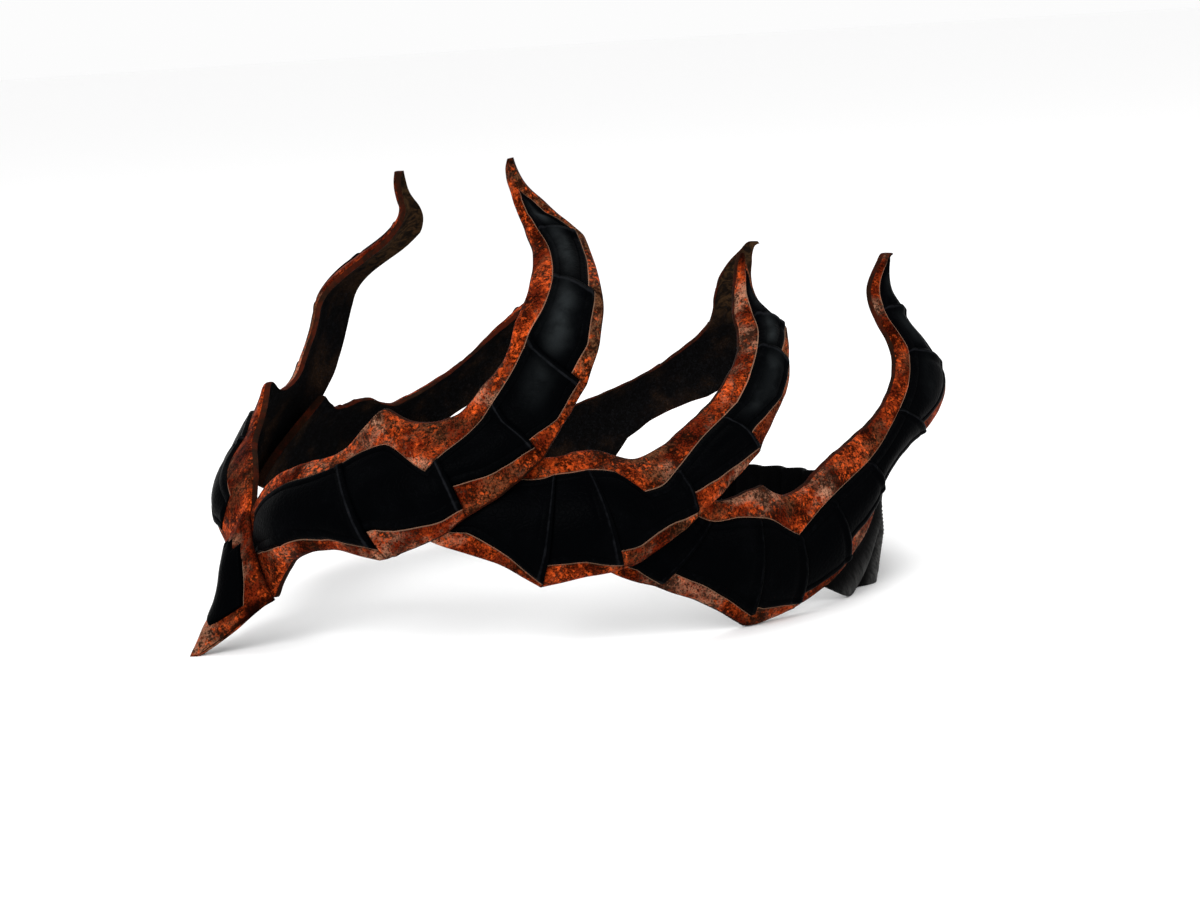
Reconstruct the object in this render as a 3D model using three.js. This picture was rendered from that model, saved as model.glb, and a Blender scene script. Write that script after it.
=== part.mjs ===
// Leather crown: a brow plate with a nose guard, three shingled horn plates on each side
// and a pleated strap at the back. Millimetres, +Z up, the crown's front faces -Y.
// The origin lies on the resting plane, under the middle of the crown's box.
import * as THREE from "three";

// Driving dimensions
const HEAD_HALF_LENGTH = 100;
const HEAD_HALF_WIDTH = 82;
const HEAD_CENTRE_Y = 7.211;
const LEATHER = 2.6;
const PANEL_RISE = 1.0;
const LAME_STEP = 0.6;
const BEVEL = 0.8;
const LAME_CUT = 0.5;
const LAME_CUT_SHARE = 0.2;
const BORDER_LIMIT = { top: 0.62, both: 0.94 };
const STATION_LENGTH = 6.5;
const HEAD_LEAN = { from: 30, to: 66 };

const STRAP = {
  leather: 1.8,
  start: 183,
  height: 20,
  startBottom: 6,
  flatFrom: 202,
  pleatPitch: 9.4,
  pleatDepth: 2.4,
  pleatFrom: 204,
  pleatFull: 222,
  stepsPerPleat: 4,
  topPinch: 0.7,
};

// Each row of a plate is one rung, from its upper or front edge to its lower or rear edge.
// Edges are given as length round the head from the middle of the brow, and height above the floor.
// lowBorder is the copper border just before the rung and nextBorder just after it, so a
// rung where they differ is the end of one tooled lame and the start of the next.
// crest is how far across the dome is highest, and lift raises the lower edge over what it laps.
const PLATE_COLUMNS = ["topS", "topZ", "lowS", "lowZ", "topBorder", "lowBorder", "nextBorder", "dome", "crest",
  "lift", "corner"];

const FRONT_PLATE = {
  name: "front_plate",
  release: 72,
  springRadius: 400,
  lean: 11,
  curl: { from: 85, to: 118, depth: 33 },
  panel: { from: 1.5, to: 19.4 },
  rows: [
    [0.6, 36.4, 6.8, 25.8, 5, 6, 6, 0.2, 0.6, 0, ""],
    [0.8, 37.9, 11.5, 15.4, 7.3, 14.3, 14.3, 0.3, 0.6, 0, ""],
    [5, 45.4, 16, 21, 5.8, 9, 9, 1.6, 0.68, 0, ""],
    [17, 51.8, 22, 27.2, 5.7, 4.4, 4.4, 3.8, 0.72, 0, ""],
    [27, 54.3, 36, 31.1, 5.4, 3, 3, 4, 0.7, 0, ""],
    [33.6, 56.2, 50.8, 28.8, 4.8, 4.6, 4.6, 4, 0.67, 0.2, "low"],
    [35.2, 57, 53.4, 29.4, 4.7, 3.2, 8, 4, 0.66, 0.4, ""],
    [42.6, 63.6, 55, 30, 7.5, 7, 7, 4.1, 0.63, 0.8, ""],
    [49.8, 68.8, 57.5, 31, 10.7, 5.4, 5.4, 4.2, 0.6, 1.7, ""],
    [58.8, 65.3, 71, 36.1, 17, 2.5, 2.5, 4.4, 0.54, 4.1, ""],
    [62.5, 64.9, 76, 39, 13.2, 1.7, 7.3, 4.4, 0.52, 5, ""],
    [72.5, 66.7, 87, 44.6, 7.2, 4.8, 4.8, 4.4, 0.5, 5.4, ""],
    [81.5, 75.1, 97, 52.2, 5, 3.6, 6.4, 3.6, 0.5, 5.4, "low"],
    [87.2, 81.4, 103, 62.8, 3.9, 2.7, 2.7, 2.9, 0.5, 5.2, ""],
    [91, 90.2, 110, 74, 5.1, 2.4, 5.4, 2.3, 0.5, 4.8, "low"],
    [93.4, 95.2, 113.9, 83.8, 6.9, 3.4, 3.4, 2, 0.5, 3.6, ""],
    [95.2, 101.2, 116, 93.6, 7, 2.5, 4.3, 1.8, 0.5, 1.6, ""],
    [95.2, 106.6, 114.4, 102, 5.7, 2.9, 2.9, 1.7, 0.5, 0, ""],
    [92.6, 112.6, 110.6, 110, 4.1, 2.6, 3.4, 1.5, 0.5, -0.4, "low"],
    [89.6, 121.3, 102, 121, 3.3, 4.1, 4.1, 1.2, 0.5, -0.4, ""],
    [87.8, 128, 93.6, 127.8, 2.4, 3.4, 3.4, 0.9, 0.5, 0, ""],
    [87.7, 131, 90.8, 131.3, 1.4, 1.6, 1.6, 0.5, 0.5, 0, ""],
    [88.9, 133.6, 89.8, 133.8, 0.4, 0.4, 0.4, 0.2, 0.5, 0, ""],
  ],
};

const MIDDLE_PLATE = {
  name: "middle_plate",
  release: 135,
  springRadius: 400,
  lean: 11,
  curl: { from: 62, to: 98, depth: 24 },
  panel: { from: 0.9, to: 16.7 },
  rows: [
    [90, 58.5, 62, 34.8, 3, 3, 3, 0.2, 0.5, 0, ""],
    [95, 55, 71, 31.4, 9, 6, 6, 1.2, 0.5, 0, ""],
    [98.5, 53.4, 84, 26.4, 7, 3.5, 3.5, 2.4, 0.55, 0, ""],
    [101.5, 53.4, 94, 19.5, 5.5, 1.2, 7, 3.6, 0.6, 0, "low"],
    [104.5, 53.7, 105.5, 21.8, 5.8, 5, 5, 4.2, 0.6, 2.6, ""],
    [108, 54.3, 115.2, 23.4, 6.5, 1.5, 6, 4.2, 0.6, 5.1, ""],
    [114, 54, 121, 25.4, 7.5, 5, 5, 4.2, 0.58, 5.4, ""],
    [119.5, 51.8, 126, 28, 11.5, 4.4, 4.4, 4.2, 0.55, 5.4, ""],
    [125, 50.6, 131, 30.6, 9.5, 3.2, 3.2, 4.2, 0.5, 5.4, ""],
    [131, 52, 137.2, 33.6, 7.5, 1.2, 5.5, 4.2, 0.48, 5.2, ""],
    [143.5, 57.6, 149.4, 39.6, 5, 3, 3, 4.4, 0.46, 4.8, ""],
    [150.4, 61.6, 161.9, 46.6, 4.6, 1, 5.5, 4, 0.5, 4, "low"],
    [161.5, 69.7, 173.4, 58.2, 4, 2.6, 2.6, 3.8, 0.5, 3, ""],
    [168.3, 75.5, 180.6, 68.4, 4, 1, 4, 3.4, 0.5, 2, "low"],
    [171, 79, 184.2, 73, 4.4, 2.2, 2.2, 3, 0.5, 1.4, ""],
    [173, 83, 187.2, 77.4, 4.2, 1, 4, 2.6, 0.5, 0.8, "low"],
    [176.8, 88.7, 183.8, 84.3, 3, 2.4, 2.4, 1.8, 0.5, 0.3, ""],
    [180.7, 95, 184.9, 92, 1.8, 1.6, 1.6, 1.1, 0.5, 0, ""],
    [182.1, 99.2, 184.4, 98.4, 0.9, 0.9, 0.9, 0.5, 0.5, 0, ""],
    [183, 101, 183.8, 100.8, 0.3, 0.3, 0.3, 0.2, 0.5, 0, ""],
  ],
};

const REAR_PLATE = {
  name: "rear_plate",
  release: 172,
  springRadius: 500,
  lean: 3,
  curl: { from: 50, to: 88, depth: 16 },
  panel: { from: 0.9, to: 22.6 },
  rows: [
    [136, 41.5, 108, 26, 3, 3, 3, 0.2, 0.5, 0, ""],
    [143, 38.4, 117, 19.6, 6, 4, 4, 1, 0.5, 0, ""],
    [147, 37.2, 126, 16.2, 6.6, 1.2, 5.6, 2.4, 0.55, 0, "low"],
    [153, 37.4, 143, 7.5, 5.6, 4, 4, 4, 0.55, 0, ""],
    [158.5, 38.4, 153.6, 0.3, 7.4, 3.4, 6.2, 4.4, 0.55, 0, "low"],
    [163, 39, 157.5, 0, 9.1, 5, 5, 4.4, 0.55, 0, "top low"],
    [168, 35.8, 164.3, 0.8, 9.4, 3.6, 3.6, 4.4, 0.55, 0.3, ""],
    [171.2, 34.8, 171.3, 1.8, 11, 1.6, 4, 4.2, 0.55, 0.8, "low"],
    [180, 36.2, 185.3, 6.9, 6.9, 3.2, 3.2, 4, 0.5, 2.6, ""],
    [184.3, 38.2, 192.2, 10.6, 6.8, 2.4, 7.2, 3.6, 0.5, 2.9, "low"],
    [193, 42, 203.8, 19.4, 7.1, 5, 5, 3.3, 0.5, 2.6, ""],
    [200.5, 44.4, 211, 28.8, 6.8, 1.4, 2.4, 3.2, 0.5, 1.8, "low"],
    [208.5, 47, 219, 34, 5.8, 1.6, 1.6, 3.2, 0.5, 0.8, ""],
    [216.5, 50, 229, 38.3, 4.6, 1.2, 1.2, 3, 0.5, 0, ""],
    [222.5, 53, 239, 41, 4, 0.8, 5.5, 3, 0.5, 0, "low"],
    [229.8, 57.6, 250, 46.4, 4.2, 4.6, 4.6, 3, 0.5, 0, ""],
    [235.5, 62, 256.4, 52.8, 4, 3, 3, 2.8, 0.5, 0, ""],
    [238.6, 65.8, 257.5, 59, 4, 1, 4, 2.6, 0.5, 0, "low"],
    [240, 70, 255.6, 64.5, 3, 2.6, 2.6, 2.4, 0.5, 0, ""],
    [240, 74.5, 253, 70.5, 2.4, 2, 2, 2.2, 0.5, 0, ""],
    [240.4, 78, 254, 75, 2.2, 1, 3, 2.6, 0.5, 0, "low"],
    [241.8, 83, 252.8, 81, 2.2, 2.4, 2.4, 2, 0.5, 0, ""],
    [244.8, 87.5, 253, 86.5, 2, 2, 2, 1.4, 0.5, 0, ""],
    [249.4, 91.6, 253.4, 90.2, 1.4, 1.4, 1.4, 0.7, 0.5, 0, ""],
    [252.4, 94, 254.6, 92.8, 0.8, 0.8, 0.8, 0.4, 0.5, 0, ""],
    [255.4, 94, 256, 93.3, 0.3, 0.3, 0.3, 0.2, 0.5, 0, ""],
  ],
};

// The brow plate is folded along its middle: each row gives the ridge and one side edge.
// panel is the half width of the black panel as a share of the way from ridge to edge.
const CENTRE_COLUMNS = ["ridgeY", "ridgeZ", "edgeX", "edgeY", "edgeZ", "panel"];
const CENTRE_ROWS = [
  [-106.3, 38.6, 2.2, -106.1, 38.2, 0],
  [-108.2, 31.5, 7.2, -106.1, 31.8, 0],
  [-108.8, 29.0, 8.4, -106.1, 29.0, 0.5],
  [-109.8, 26.5, 9.6, -106.0, 26.4, 0.58],
  [-111.6, 21.5, 11.4, -105.2, 22.0, 0.62],
  [-113.2, 17.0, 13.2, -104.2, 17.5, 0.64],
  [-114.0, 14.5, 15.0, -103.4, 15.8, 0.6],
  [-115.8, 11.0, 11.0, -106.8, 11.0, 0.5],
  [-118.0, 7.0, 8.0, -111.2, 6.6, 0],
  [-120.4, 3.2, 5.0, -115.6, 3.0, 0],
  [-122.8, 0, 1.8, -121.0, 0, 0],
];
const RIDGE_ROUNDING = 0.35;
const CENTRE_BEVEL = 0.1;
const CENTRE_SLIT = 0.15;
const NORMAL_REACH = 0.05;

// Finishes
const leatherFinish = (color, roughness, metalness) =>
  new THREE.MeshStandardMaterial({ color, roughness, metalness });
const copperFinish = () => leatherFinish(0x6b2c14, 0.45, 0.25);
const strapFinish = () => leatherFinish(0x1c1b1c, 0.6, 0);

// Small helpers
const mix = THREE.MathUtils.lerp;
const clamp01 = (value) => THREE.MathUtils.clamp(value, 0, 1);
const easeBetween = (from, to, value) => (1 - Math.cos(Math.PI * clamp01((value - from) / (to - from)))) / 2;
const easeSlope = (from, to, value) =>
  (Math.PI / (2 * (to - from))) * Math.sin(Math.PI * clamp01((value - from) / (to - from)));
const readTable = (columns, rows) =>
  rows.map((row) => Object.fromEntries(columns.map((name, k) => [name, row[k]])));

// Plan of the head band: an ellipse measured by the length along it from the middle of the brow
const BAND_STEPS = 720;
const bandLengths = [0];
for (let k = 1; k <= BAND_STEPS; k += 1) {
  const angle = (Math.PI * (k - 0.5)) / BAND_STEPS;
  const speed = Math.hypot(HEAD_HALF_WIDTH * Math.cos(angle), HEAD_HALF_LENGTH * Math.sin(angle));
  bandLengths.push(bandLengths[k - 1] + (speed * Math.PI) / BAND_STEPS);
}
const HALF_GIRTH = bandLengths[BAND_STEPS];

function bandAt(length) {
  const k = Math.max(1, bandLengths.findIndex((value) => value >= length));
  const share = (length - bandLengths[k - 1]) / (bandLengths[k] - bandLengths[k - 1]);
  const angle = (Math.PI * (k - 1 + share)) / BAND_STEPS;
  const point = new THREE.Vector2(HEAD_HALF_WIDTH * Math.sin(angle), -HEAD_HALF_LENGTH * Math.cos(angle));
  const along = new THREE.Vector2(HEAD_HALF_WIDTH * Math.cos(angle), HEAD_HALF_LENGTH * Math.sin(angle));
  along.normalize();
  return { point, along, out: new THREE.Vector2(along.y, -along.x) };
}

// A plate follows the band up to its release and then springs away on a wider arc
function planAt(plate, length) {
  const band = bandAt(Math.min(length, plate.release));
  const turn = Math.max(length - plate.release, 0) / plate.springRadius;
  const point = band.point.clone()
    .addScaledVector(band.along, plate.springRadius * Math.sin(turn))
    .addScaledVector(band.out, -plate.springRadius * (1 - Math.cos(turn)));
  const out = band.out.clone().multiplyScalar(Math.cos(turn)).addScaledVector(band.along, Math.sin(turn));
  return { point, out };
}

// A point on a plate at a length round the head, a height and a distance out from the head side.
// The wall leans in over the head and the horn then curls in and stands up again.
function wallPoint(plate, length, height, distance) {
  const { point, out } = planAt(plate, length);
  const { curl } = plate;
  const inset = plate.lean * easeBetween(HEAD_LEAN.from, HEAD_LEAN.to, height) +
    curl.depth * easeBetween(curl.from, curl.to, height);
  const slope = plate.lean * easeSlope(HEAD_LEAN.from, HEAD_LEAN.to, height) +
    curl.depth * easeSlope(curl.from, curl.to, height);
  const normal = new THREE.Vector3(out.x, out.y, slope).normalize();
  return new THREE.Vector3(point.x - out.x * inset, point.y - out.y * inset, height)
    .addScaledVector(normal, distance);
}

// A smooth edge through its points, with straight breaks at the corners
function smoothEdge(points, isCorner) {
  const chord = points.slice(1).map((point, k) => point.clone().sub(points[k]));
  const span = chord.map((vector) => Math.max(vector.length(), 1e-6));
  const heading = chord.map((vector, k) => vector.clone().divideScalar(span[k]));
  const last = points.length - 1;
  const tangent = (k, side) => {
    if (k === 0 || (isCorner[k] && side > 0 && k < last)) return heading[Math.min(k, last - 1)];
    if (k === last || isCorner[k]) return heading[k - 1];
    return heading[k - 1].clone().multiplyScalar(span[k]).addScaledVector(heading[k], span[k - 1])
      .divideScalar(span[k - 1] + span[k]);
  };
  return (k, t) => {
    const start = tangent(k, 1);
    const finish = tangent(k + 1, -1);
    return points[k].clone().multiplyScalar((1 + 2 * t) * (1 - t) * (1 - t))
      .addScaledVector(points[k + 1], t * t * (3 - 2 * t))
      .addScaledVector(start, span[k] * t * (1 - t) * (1 - t))
      .addScaledVector(finish, -span[k] * t * t * (1 - t));
  };
}

// A closed wall from stations, each with a row of outer points and a row of inner points
function wallGeometry(stations) {
  const across = stations[0].outer.length;
  const positions = [];
  for (const station of stations) {
    for (const point of [...station.outer, ...station.inner]) positions.push(point.x, point.y, point.z);
  }
  const outer = (i, j) => i * across * 2 + j;
  const inner = (i, j) => i * across * 2 + across + j;
  const triangles = [];
  const quad = (a, b, c, d) => triangles.push(a, b, c, a, c, d);
  const lastStation = stations.length - 1;
  const lastPoint = across - 1;
  for (let i = 0; i < lastStation; i += 1) {
    for (let j = 0; j < lastPoint; j += 1) {
      quad(outer(i, j), outer(i, j + 1), outer(i + 1, j + 1), outer(i + 1, j));
      quad(inner(i, j), inner(i + 1, j), inner(i + 1, j + 1), inner(i, j + 1));
    }
    quad(outer(i, 0), outer(i + 1, 0), inner(i + 1, 0), inner(i, 0));
    quad(outer(i, lastPoint), inner(i, lastPoint), inner(i + 1, lastPoint), outer(i + 1, lastPoint));
  }
  for (let j = 0; j < lastPoint; j += 1) {
    quad(outer(0, j), inner(0, j), inner(0, j + 1), outer(0, j + 1));
    quad(outer(lastStation, j), outer(lastStation, j + 1), inner(lastStation, j + 1), inner(lastStation, j));
  }
  const geometry = new THREE.BufferGeometry();
  geometry.setAttribute("position", new THREE.Float32BufferAttribute(positions, 3));
  geometry.setIndex(triangles);
  geometry.computeVertexNormals();
  return geometry;
}

// The same wall on the other side of the head
function mirrored(geometry) {
  const copy = geometry.clone();
  copy.scale(-1, 1, 1);
  const index = copy.getIndex().array;
  for (let k = 0; k < index.length; k += 3) [index[k + 1], index[k + 2]] = [index[k + 2], index[k + 1]];
  copy.computeVertexNormals();
  return copy;
}

// One station across a plate: border, bevel, raised panel, bevel and border
function plateStation(plate, rung) {
  const width = rung.top.distanceTo(rung.low);
  const topShare = Math.min(rung.topBorder / width, BORDER_LIMIT.top);
  const lowShare = Math.min(rung.lowBorder / width, BORDER_LIMIT.both - topShare);
  const bevel = Math.min(BEVEL / width, (1 - topShare - lowShare) / 4);
  const panelTop = topShare + bevel;
  const panelLow = 1 - lowShare - bevel;
  const shares = [0, topShare, panelTop, mix(panelTop, panelLow, 1 / 3), mix(panelTop, panelLow, 2 / 3),
    panelLow, 1 - lowShare, 1];
  const raised = [0, 0, 1, 1, 1, 1, 0, 0];
  const place = (share, extra) => {
    const spot = rung.top.clone().lerp(rung.low, share);
    const reach = share < rung.crest ? rung.crest : 1 - rung.crest;
    const dome = rung.dome * (1 - ((share - rung.crest) / reach) ** 2);
    return wallPoint(plate, spot.x, spot.y, rung.lift * share + dome + extra);
  };
  return {
    outer: shares.map((share, k) => place(share, LEATHER + raised[k] * rung.rise)),
    inner: shares.map((share) => place(share, 0)),
  };
}

function plateGeometry(plate) {
  const rows = readTable(PLATE_COLUMNS, plate.rows);
  const topEdge = smoothEdge(rows.map((row) => new THREE.Vector2(row.topS, row.topZ)),
    rows.map((row) => row.corner.includes("top")));
  const lowEdge = smoothEdge(rows.map((row) => new THREE.Vector2(row.lowS, row.lowZ)),
    rows.map((row) => row.corner.includes("low")));
  const lameEnds = rows.flatMap((row, k) => (row.lowBorder === row.nextBorder ? [] : [k]));
  const lameBounds = [plate.panel.from, ...lameEnds, plate.panel.to];

  const riseAt = (place) => {
    if (place < plate.panel.from || place > plate.panel.to) return 0;
    const k = Math.max(1, lameBounds.findIndex((bound) => bound >= place));
    return PANEL_RISE + LAME_STEP * ((place - lameBounds[k - 1]) / (lameBounds[k] - lameBounds[k - 1]));
  };
  const rungAt = (k, t) => ({
    top: topEdge(k, t),
    low: lowEdge(k, t),
    topBorder: mix(rows[k].topBorder, rows[k + 1].topBorder, t),
    lowBorder: mix(rows[k].nextBorder, rows[k + 1].lowBorder, t),
    dome: mix(rows[k].dome, rows[k + 1].dome, t),
    crest: mix(rows[k].crest, rows[k + 1].crest, t),
    lift: mix(rows[k].lift, rows[k + 1].lift, t),
    rise: riseAt(k + t),
  });

  const stations = [];
  for (let k = 0; k < rows.length - 1; k += 1) {
    const span = Math.max(topEdge(k, 0).distanceTo(topEdge(k, 1)), lowEdge(k, 0).distanceTo(lowEdge(k, 1)));
    const steps = Math.max(1, Math.round(span / STATION_LENGTH));
    const startsLame = lameEnds.includes(k);
    const first = startsLame ? Math.min(LAME_CUT / span, LAME_CUT_SHARE) : 0;
    for (let step = 0; step < steps; step += 1) {
      stations.push(plateStation(plate, rungAt(k, mix(first, 1, step / steps))));
    }
    const isLast = k === rows.length - 2;
    if (lameEnds.includes(k + 1) || isLast) stations.push(plateStation(plate, rungAt(k, 1)));
  }
  return wallGeometry(stations);
}

// The brow plate, from its top point down to the tip of the nose guard
function centreGeometry() {
  const rows = readTable(CENTRE_COLUMNS, CENTRE_ROWS);
  const fold = (share) => {
    const rounded = (value) => Math.hypot(value, RIDGE_ROUNDING) - RIDGE_ROUNDING;
    return rounded(share) / rounded(1);
  };
  const skin = (place, share) => {
    const k = Math.min(Math.floor(place), rows.length - 2);
    const t = place - k;
    const at = (name) => mix(rows[k][name], rows[k + 1][name], t);
    const away = fold(Math.abs(share));
    return new THREE.Vector3(share * at("edgeX"), mix(at("ridgeY"), at("edgeY"), away),
      mix(at("ridgeZ"), at("edgeZ"), away));
  };
  const outward = (place, share) => {
    const reach = NORMAL_REACH;
    const up = skin(Math.max(place - reach, 0), share).sub(skin(Math.min(place + reach, rows.length - 1), share));
    const side = skin(place, Math.min(share + reach, 1)).sub(skin(place, Math.max(share - reach, -1)));
    return side.cross(up).normalize();
  };
  const lastRow = rows.length - 1;
  const stations = [];
  for (let place = 0; place <= lastRow; place += 1) {
    const edge = Math.max(rows[place].panel, CENTRE_SLIT);
    const rise = rows[place].panel > CENTRE_SLIT ? PANEL_RISE : 0;
    const bevel = edge + CENTRE_BEVEL;
    const shares = [-1, -bevel, -edge, -edge / 2, 0, edge / 2, edge, bevel, 1];
    const raised = [0, 0, rise, rise, rise, rise, rise, 0, 0];
    const outer = shares.map((share, k) =>
      skin(place, share).addScaledVector(outward(place, share), raised[k]));
    const inner = shares.map((share) => skin(place, share).addScaledVector(outward(place, share), -LEATHER));
    if (place === lastRow) inner.forEach((point) => point.setZ(0));
    stations.push({ outer: outer.reverse(), inner: inner.reverse() });
  }
  return wallGeometry(stations);
}

// The back strap: a soft pleated strip round the back of the head, flat along the bottom
function strapGeometry() {
  const end = 2 * HALF_GIRTH - STRAP.start;
  const step = STRAP.pleatPitch / STRAP.stepsPerPleat;
  const count = 2 * Math.round((HALF_GIRTH - STRAP.start) / step);
  const stations = [];
  for (let i = 0; i <= count; i += 1) {
    const length = mix(STRAP.start, end, i / count);
    const nearSide = length <= HALF_GIRTH;
    const own = nearSide ? length : 2 * HALF_GIRTH - length;
    const { point, out } = bandAt(Math.min(own, HALF_GIRTH));
    const side = nearSide ? 1 : -1;
    const pleats = easeBetween(STRAP.pleatFrom, STRAP.pleatFull, own);
    const wave = (1 - Math.cos((2 * Math.PI * (HALF_GIRTH - own)) / STRAP.pleatPitch)) / 2;
    const bottom = mix(STRAP.startBottom, 0, easeBetween(STRAP.start, STRAP.flatFrom, own));
    const place = (height, extra) => {
      const pinch = mix(1, STRAP.topPinch, height / STRAP.height);
      const distance = STRAP.pleatDepth * pleats * wave * pinch + extra;
      return new THREE.Vector3(side * (point.x + out.x * distance), point.y + out.y * distance, height);
    };
    const heights = [STRAP.height, mix(bottom, STRAP.height, 0.5), bottom];
    stations.push({
      outer: heights.map((height) => place(height, STRAP.leather)),
      inner: heights.map((height) => place(height, 0)),
    });
  }
  return wallGeometry(stations);
}

// The crown
const crown = new THREE.Group();
function addPiece(name, geometry, finish) {
  const piece = new THREE.Mesh(geometry, finish);
  piece.name = name;
  piece.position.y = HEAD_CENTRE_Y;
  crown.add(piece);
}

addPiece("centre_plate", centreGeometry(), copperFinish());
for (const plate of [FRONT_PLATE, MIDDLE_PLATE, REAR_PLATE]) {
  const geometry = plateGeometry(plate);
  addPiece(`left_${plate.name}`, geometry, copperFinish());
  addPiece(`right_${plate.name}`, mirrored(geometry), copperFinish());
}
addPiece("back_strap", strapGeometry(), strapFinish());

export default crown;
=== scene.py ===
"""Leather crown: shingled horn plates with tooled black panels and a mottled copper border."""

import math

import bpy
import numpy as np
from mathutils import Matrix, Vector


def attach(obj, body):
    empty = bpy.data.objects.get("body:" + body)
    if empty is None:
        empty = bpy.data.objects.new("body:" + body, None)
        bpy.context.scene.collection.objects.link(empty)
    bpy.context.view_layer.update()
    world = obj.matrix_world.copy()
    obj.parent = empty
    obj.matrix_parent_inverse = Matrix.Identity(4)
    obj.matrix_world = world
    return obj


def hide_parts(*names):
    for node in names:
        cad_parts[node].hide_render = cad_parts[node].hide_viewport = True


bl_info = {
    "name": "Leather crown",
    "version": (1, 0, 0),
    "blender": (4, 5, 0),
    "location": "3D View > Sidebar > Crown",
    "description": "Builds a horned leather crown, its finishes and a plain studio",
    "category": "Add Mesh",
}

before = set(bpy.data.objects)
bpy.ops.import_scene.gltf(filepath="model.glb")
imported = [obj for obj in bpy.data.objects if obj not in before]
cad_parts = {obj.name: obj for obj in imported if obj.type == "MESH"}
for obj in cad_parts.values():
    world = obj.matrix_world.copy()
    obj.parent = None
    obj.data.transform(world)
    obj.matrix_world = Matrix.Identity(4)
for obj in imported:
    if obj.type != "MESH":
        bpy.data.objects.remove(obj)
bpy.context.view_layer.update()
BODY = "root"

# The tables below are in millimetres, in the frame of the solids
MILLI = 0.001
BAND_HALF_LENGTH = 100.0
BAND_HALF_WIDTH = 82.0
BAND_CENTRE_Y = 7.211
LEAN_HEIGHTS = (30.0, 66.0)
BAND_STEPS = 1440

# Heights over which a lower tip sinks, and rows over which a wider border at the brow narrows
TIP_HEIGHTS = (88.0, 134.0)
BROW_ROWS = (3.0, 6.0)

# Shares of the way along a plate where its horn begins and where the horn's finishes come in, among them the
# painted shade on the horn's rear border and the painted sheen on its lames
HORN_ROWS = (0.42, 0.62)
HORN_SHADE = (0.55, 0.7)
HORN_SHEEN = (0.55, 0.68)
HORN_TIP = (0.66, 0.8)
HORN_BURNT = (0.9, 1.0)
HORN_THINNING = 0.45

# Centre and width of the painted sheen on a horn's lame, as shares of the panel's width
SHEEN_SWELL = (0.43, 0.2)

# Waves of a hand-cut edge as pitch and phase, and how far those of the lower edge are shifted
WAVES = ((7.3, 0.5), (12.9, 0.9), (21.7, 1.4))
LOW_WAVE_SHIFT = 5.0
# Width of a plate and height above the floor at which the waves are full
WAVER_FULL_WIDTH = 8.0
WAVER_FULL_HEIGHT = 3.0

# Each side's name, whether it is mirrored, and the start of its waves
SIDES = (("left", False, 1.0), ("right", True, 8.0))

# Most of a plate's width that the upper border and both borders take, and half of the narrowest panel
TOP_BORDER_LIMIT = 0.62
BORDERS_LIMIT = 0.96
LEAST_PANEL = 0.02

# Distance from a lame's end and width of its bead and of the line pressed behind it, with its depth
BEAD = (1.1, 0.8)
PRESSED = (2.9, 0.6)
PRESSED_SHARE = 0.45
# The rounding of a lame's end, the tuck where the next one begins, and the cut in the border
ROUND_WIDTH = 0.5
ROUND_DEPTH = 0.3
TUCK_WIDTH = 1.4
TUCK_DEPTH = 0.25
CUT_WIDTH = 0.3

# The curve of a lame's rise towards its end, and the share of the rise that a panel starts with
LAME_CURVE = 1.3
START_RISE = 0.35
# The fewest sections between two rows, and the most of that way that the drop at a lame's end takes
LEAST_STEPS = 3
LAME_CUT_LIMIT = 0.2

# The leather thins towards its rim: shares of the skive's width and of the thickness
RIM_SHARE = 0.4
SKIVE_PROFILE = ((0.1, 0.68), (0.4, 0.9))

# A place's mark is 1 in the pale knife line, and this where a side plate is rubbed lighter, partly as wear
# and partly as a painted highlight on its raised edges
RUBBED = -0.76

# The slope round a panel and the tooled line in it, as shares of their width and height, with marks
BEVEL_PROFILE = ((0.35, 0.5, 0.0), (0.7, 0.88, RUBBED), (1.2, 1.0, RUBBED))
TOOL_PROFILE = ((0.75, 0.0, RUBBED), (1.0, 1.0, 0.0), (1.25, 0.0, 0.0))
BEVEL_END = BEVEL_PROFILE[-1][0]
TOOL_END = TOOL_PROFILE[-1][0]

# Width of the knife line and where it is deepest, then the rounded inner rim
KNIFE_WIDTH = 0.35
KNIFE_SHARE = 0.45
HEM = 0.3
HEM_ROUND = 0.29
# Width of a panel with room for full tooling, and how far wear reaches in from a rim
FULL_PANEL = 7.0
RIM_REACH = 4.0

# In narrow places each of these takes at most one of so many parts of the plate's or panel's width
SKIVE_PARTS = 6.0
HEM_PARTS = 8.0
BEVEL_PARTS = 4.0
TOOL_PARTS = 8.0
# The most of a border that the skive and the knife line take
SKIVE_OF_BORDER = 0.5
KNIFE_OF_BORDER = 0.3

# Points across the border, the panel and the inner face of a section, and the angle of a sharp edge
BORDER_POINTS = 6
PANEL_POINTS = 12
INSIDE_POINTS = 12
SHARP_ANGLE = math.radians(48.0)

# Each row of a plate is one rung from its upper or front edge to its lower or rear edge.
# Edges are a length round the band from the middle of the brow, and a height above the floor.
# low_border is the copper just before the rung and next_border just after it, so a rung where
# they differ ends one tooled lame. lift raises the lower edge over the plate that it laps.
# Past the length release a plate leaves the band on a spring_radius; lean and curl bring it in again.
# lip_share weakens the rubbed lines, which are partly wear and partly a painted highlight, another share
# weakens the painted sheen on the horns, and right changes one side only.
PLATE_COLUMNS = ("top_s", "top_z", "low_s", "low_z", "top_border", "low_border", "next_border",
                 "dome", "crest", "lift", "corner")

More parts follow.
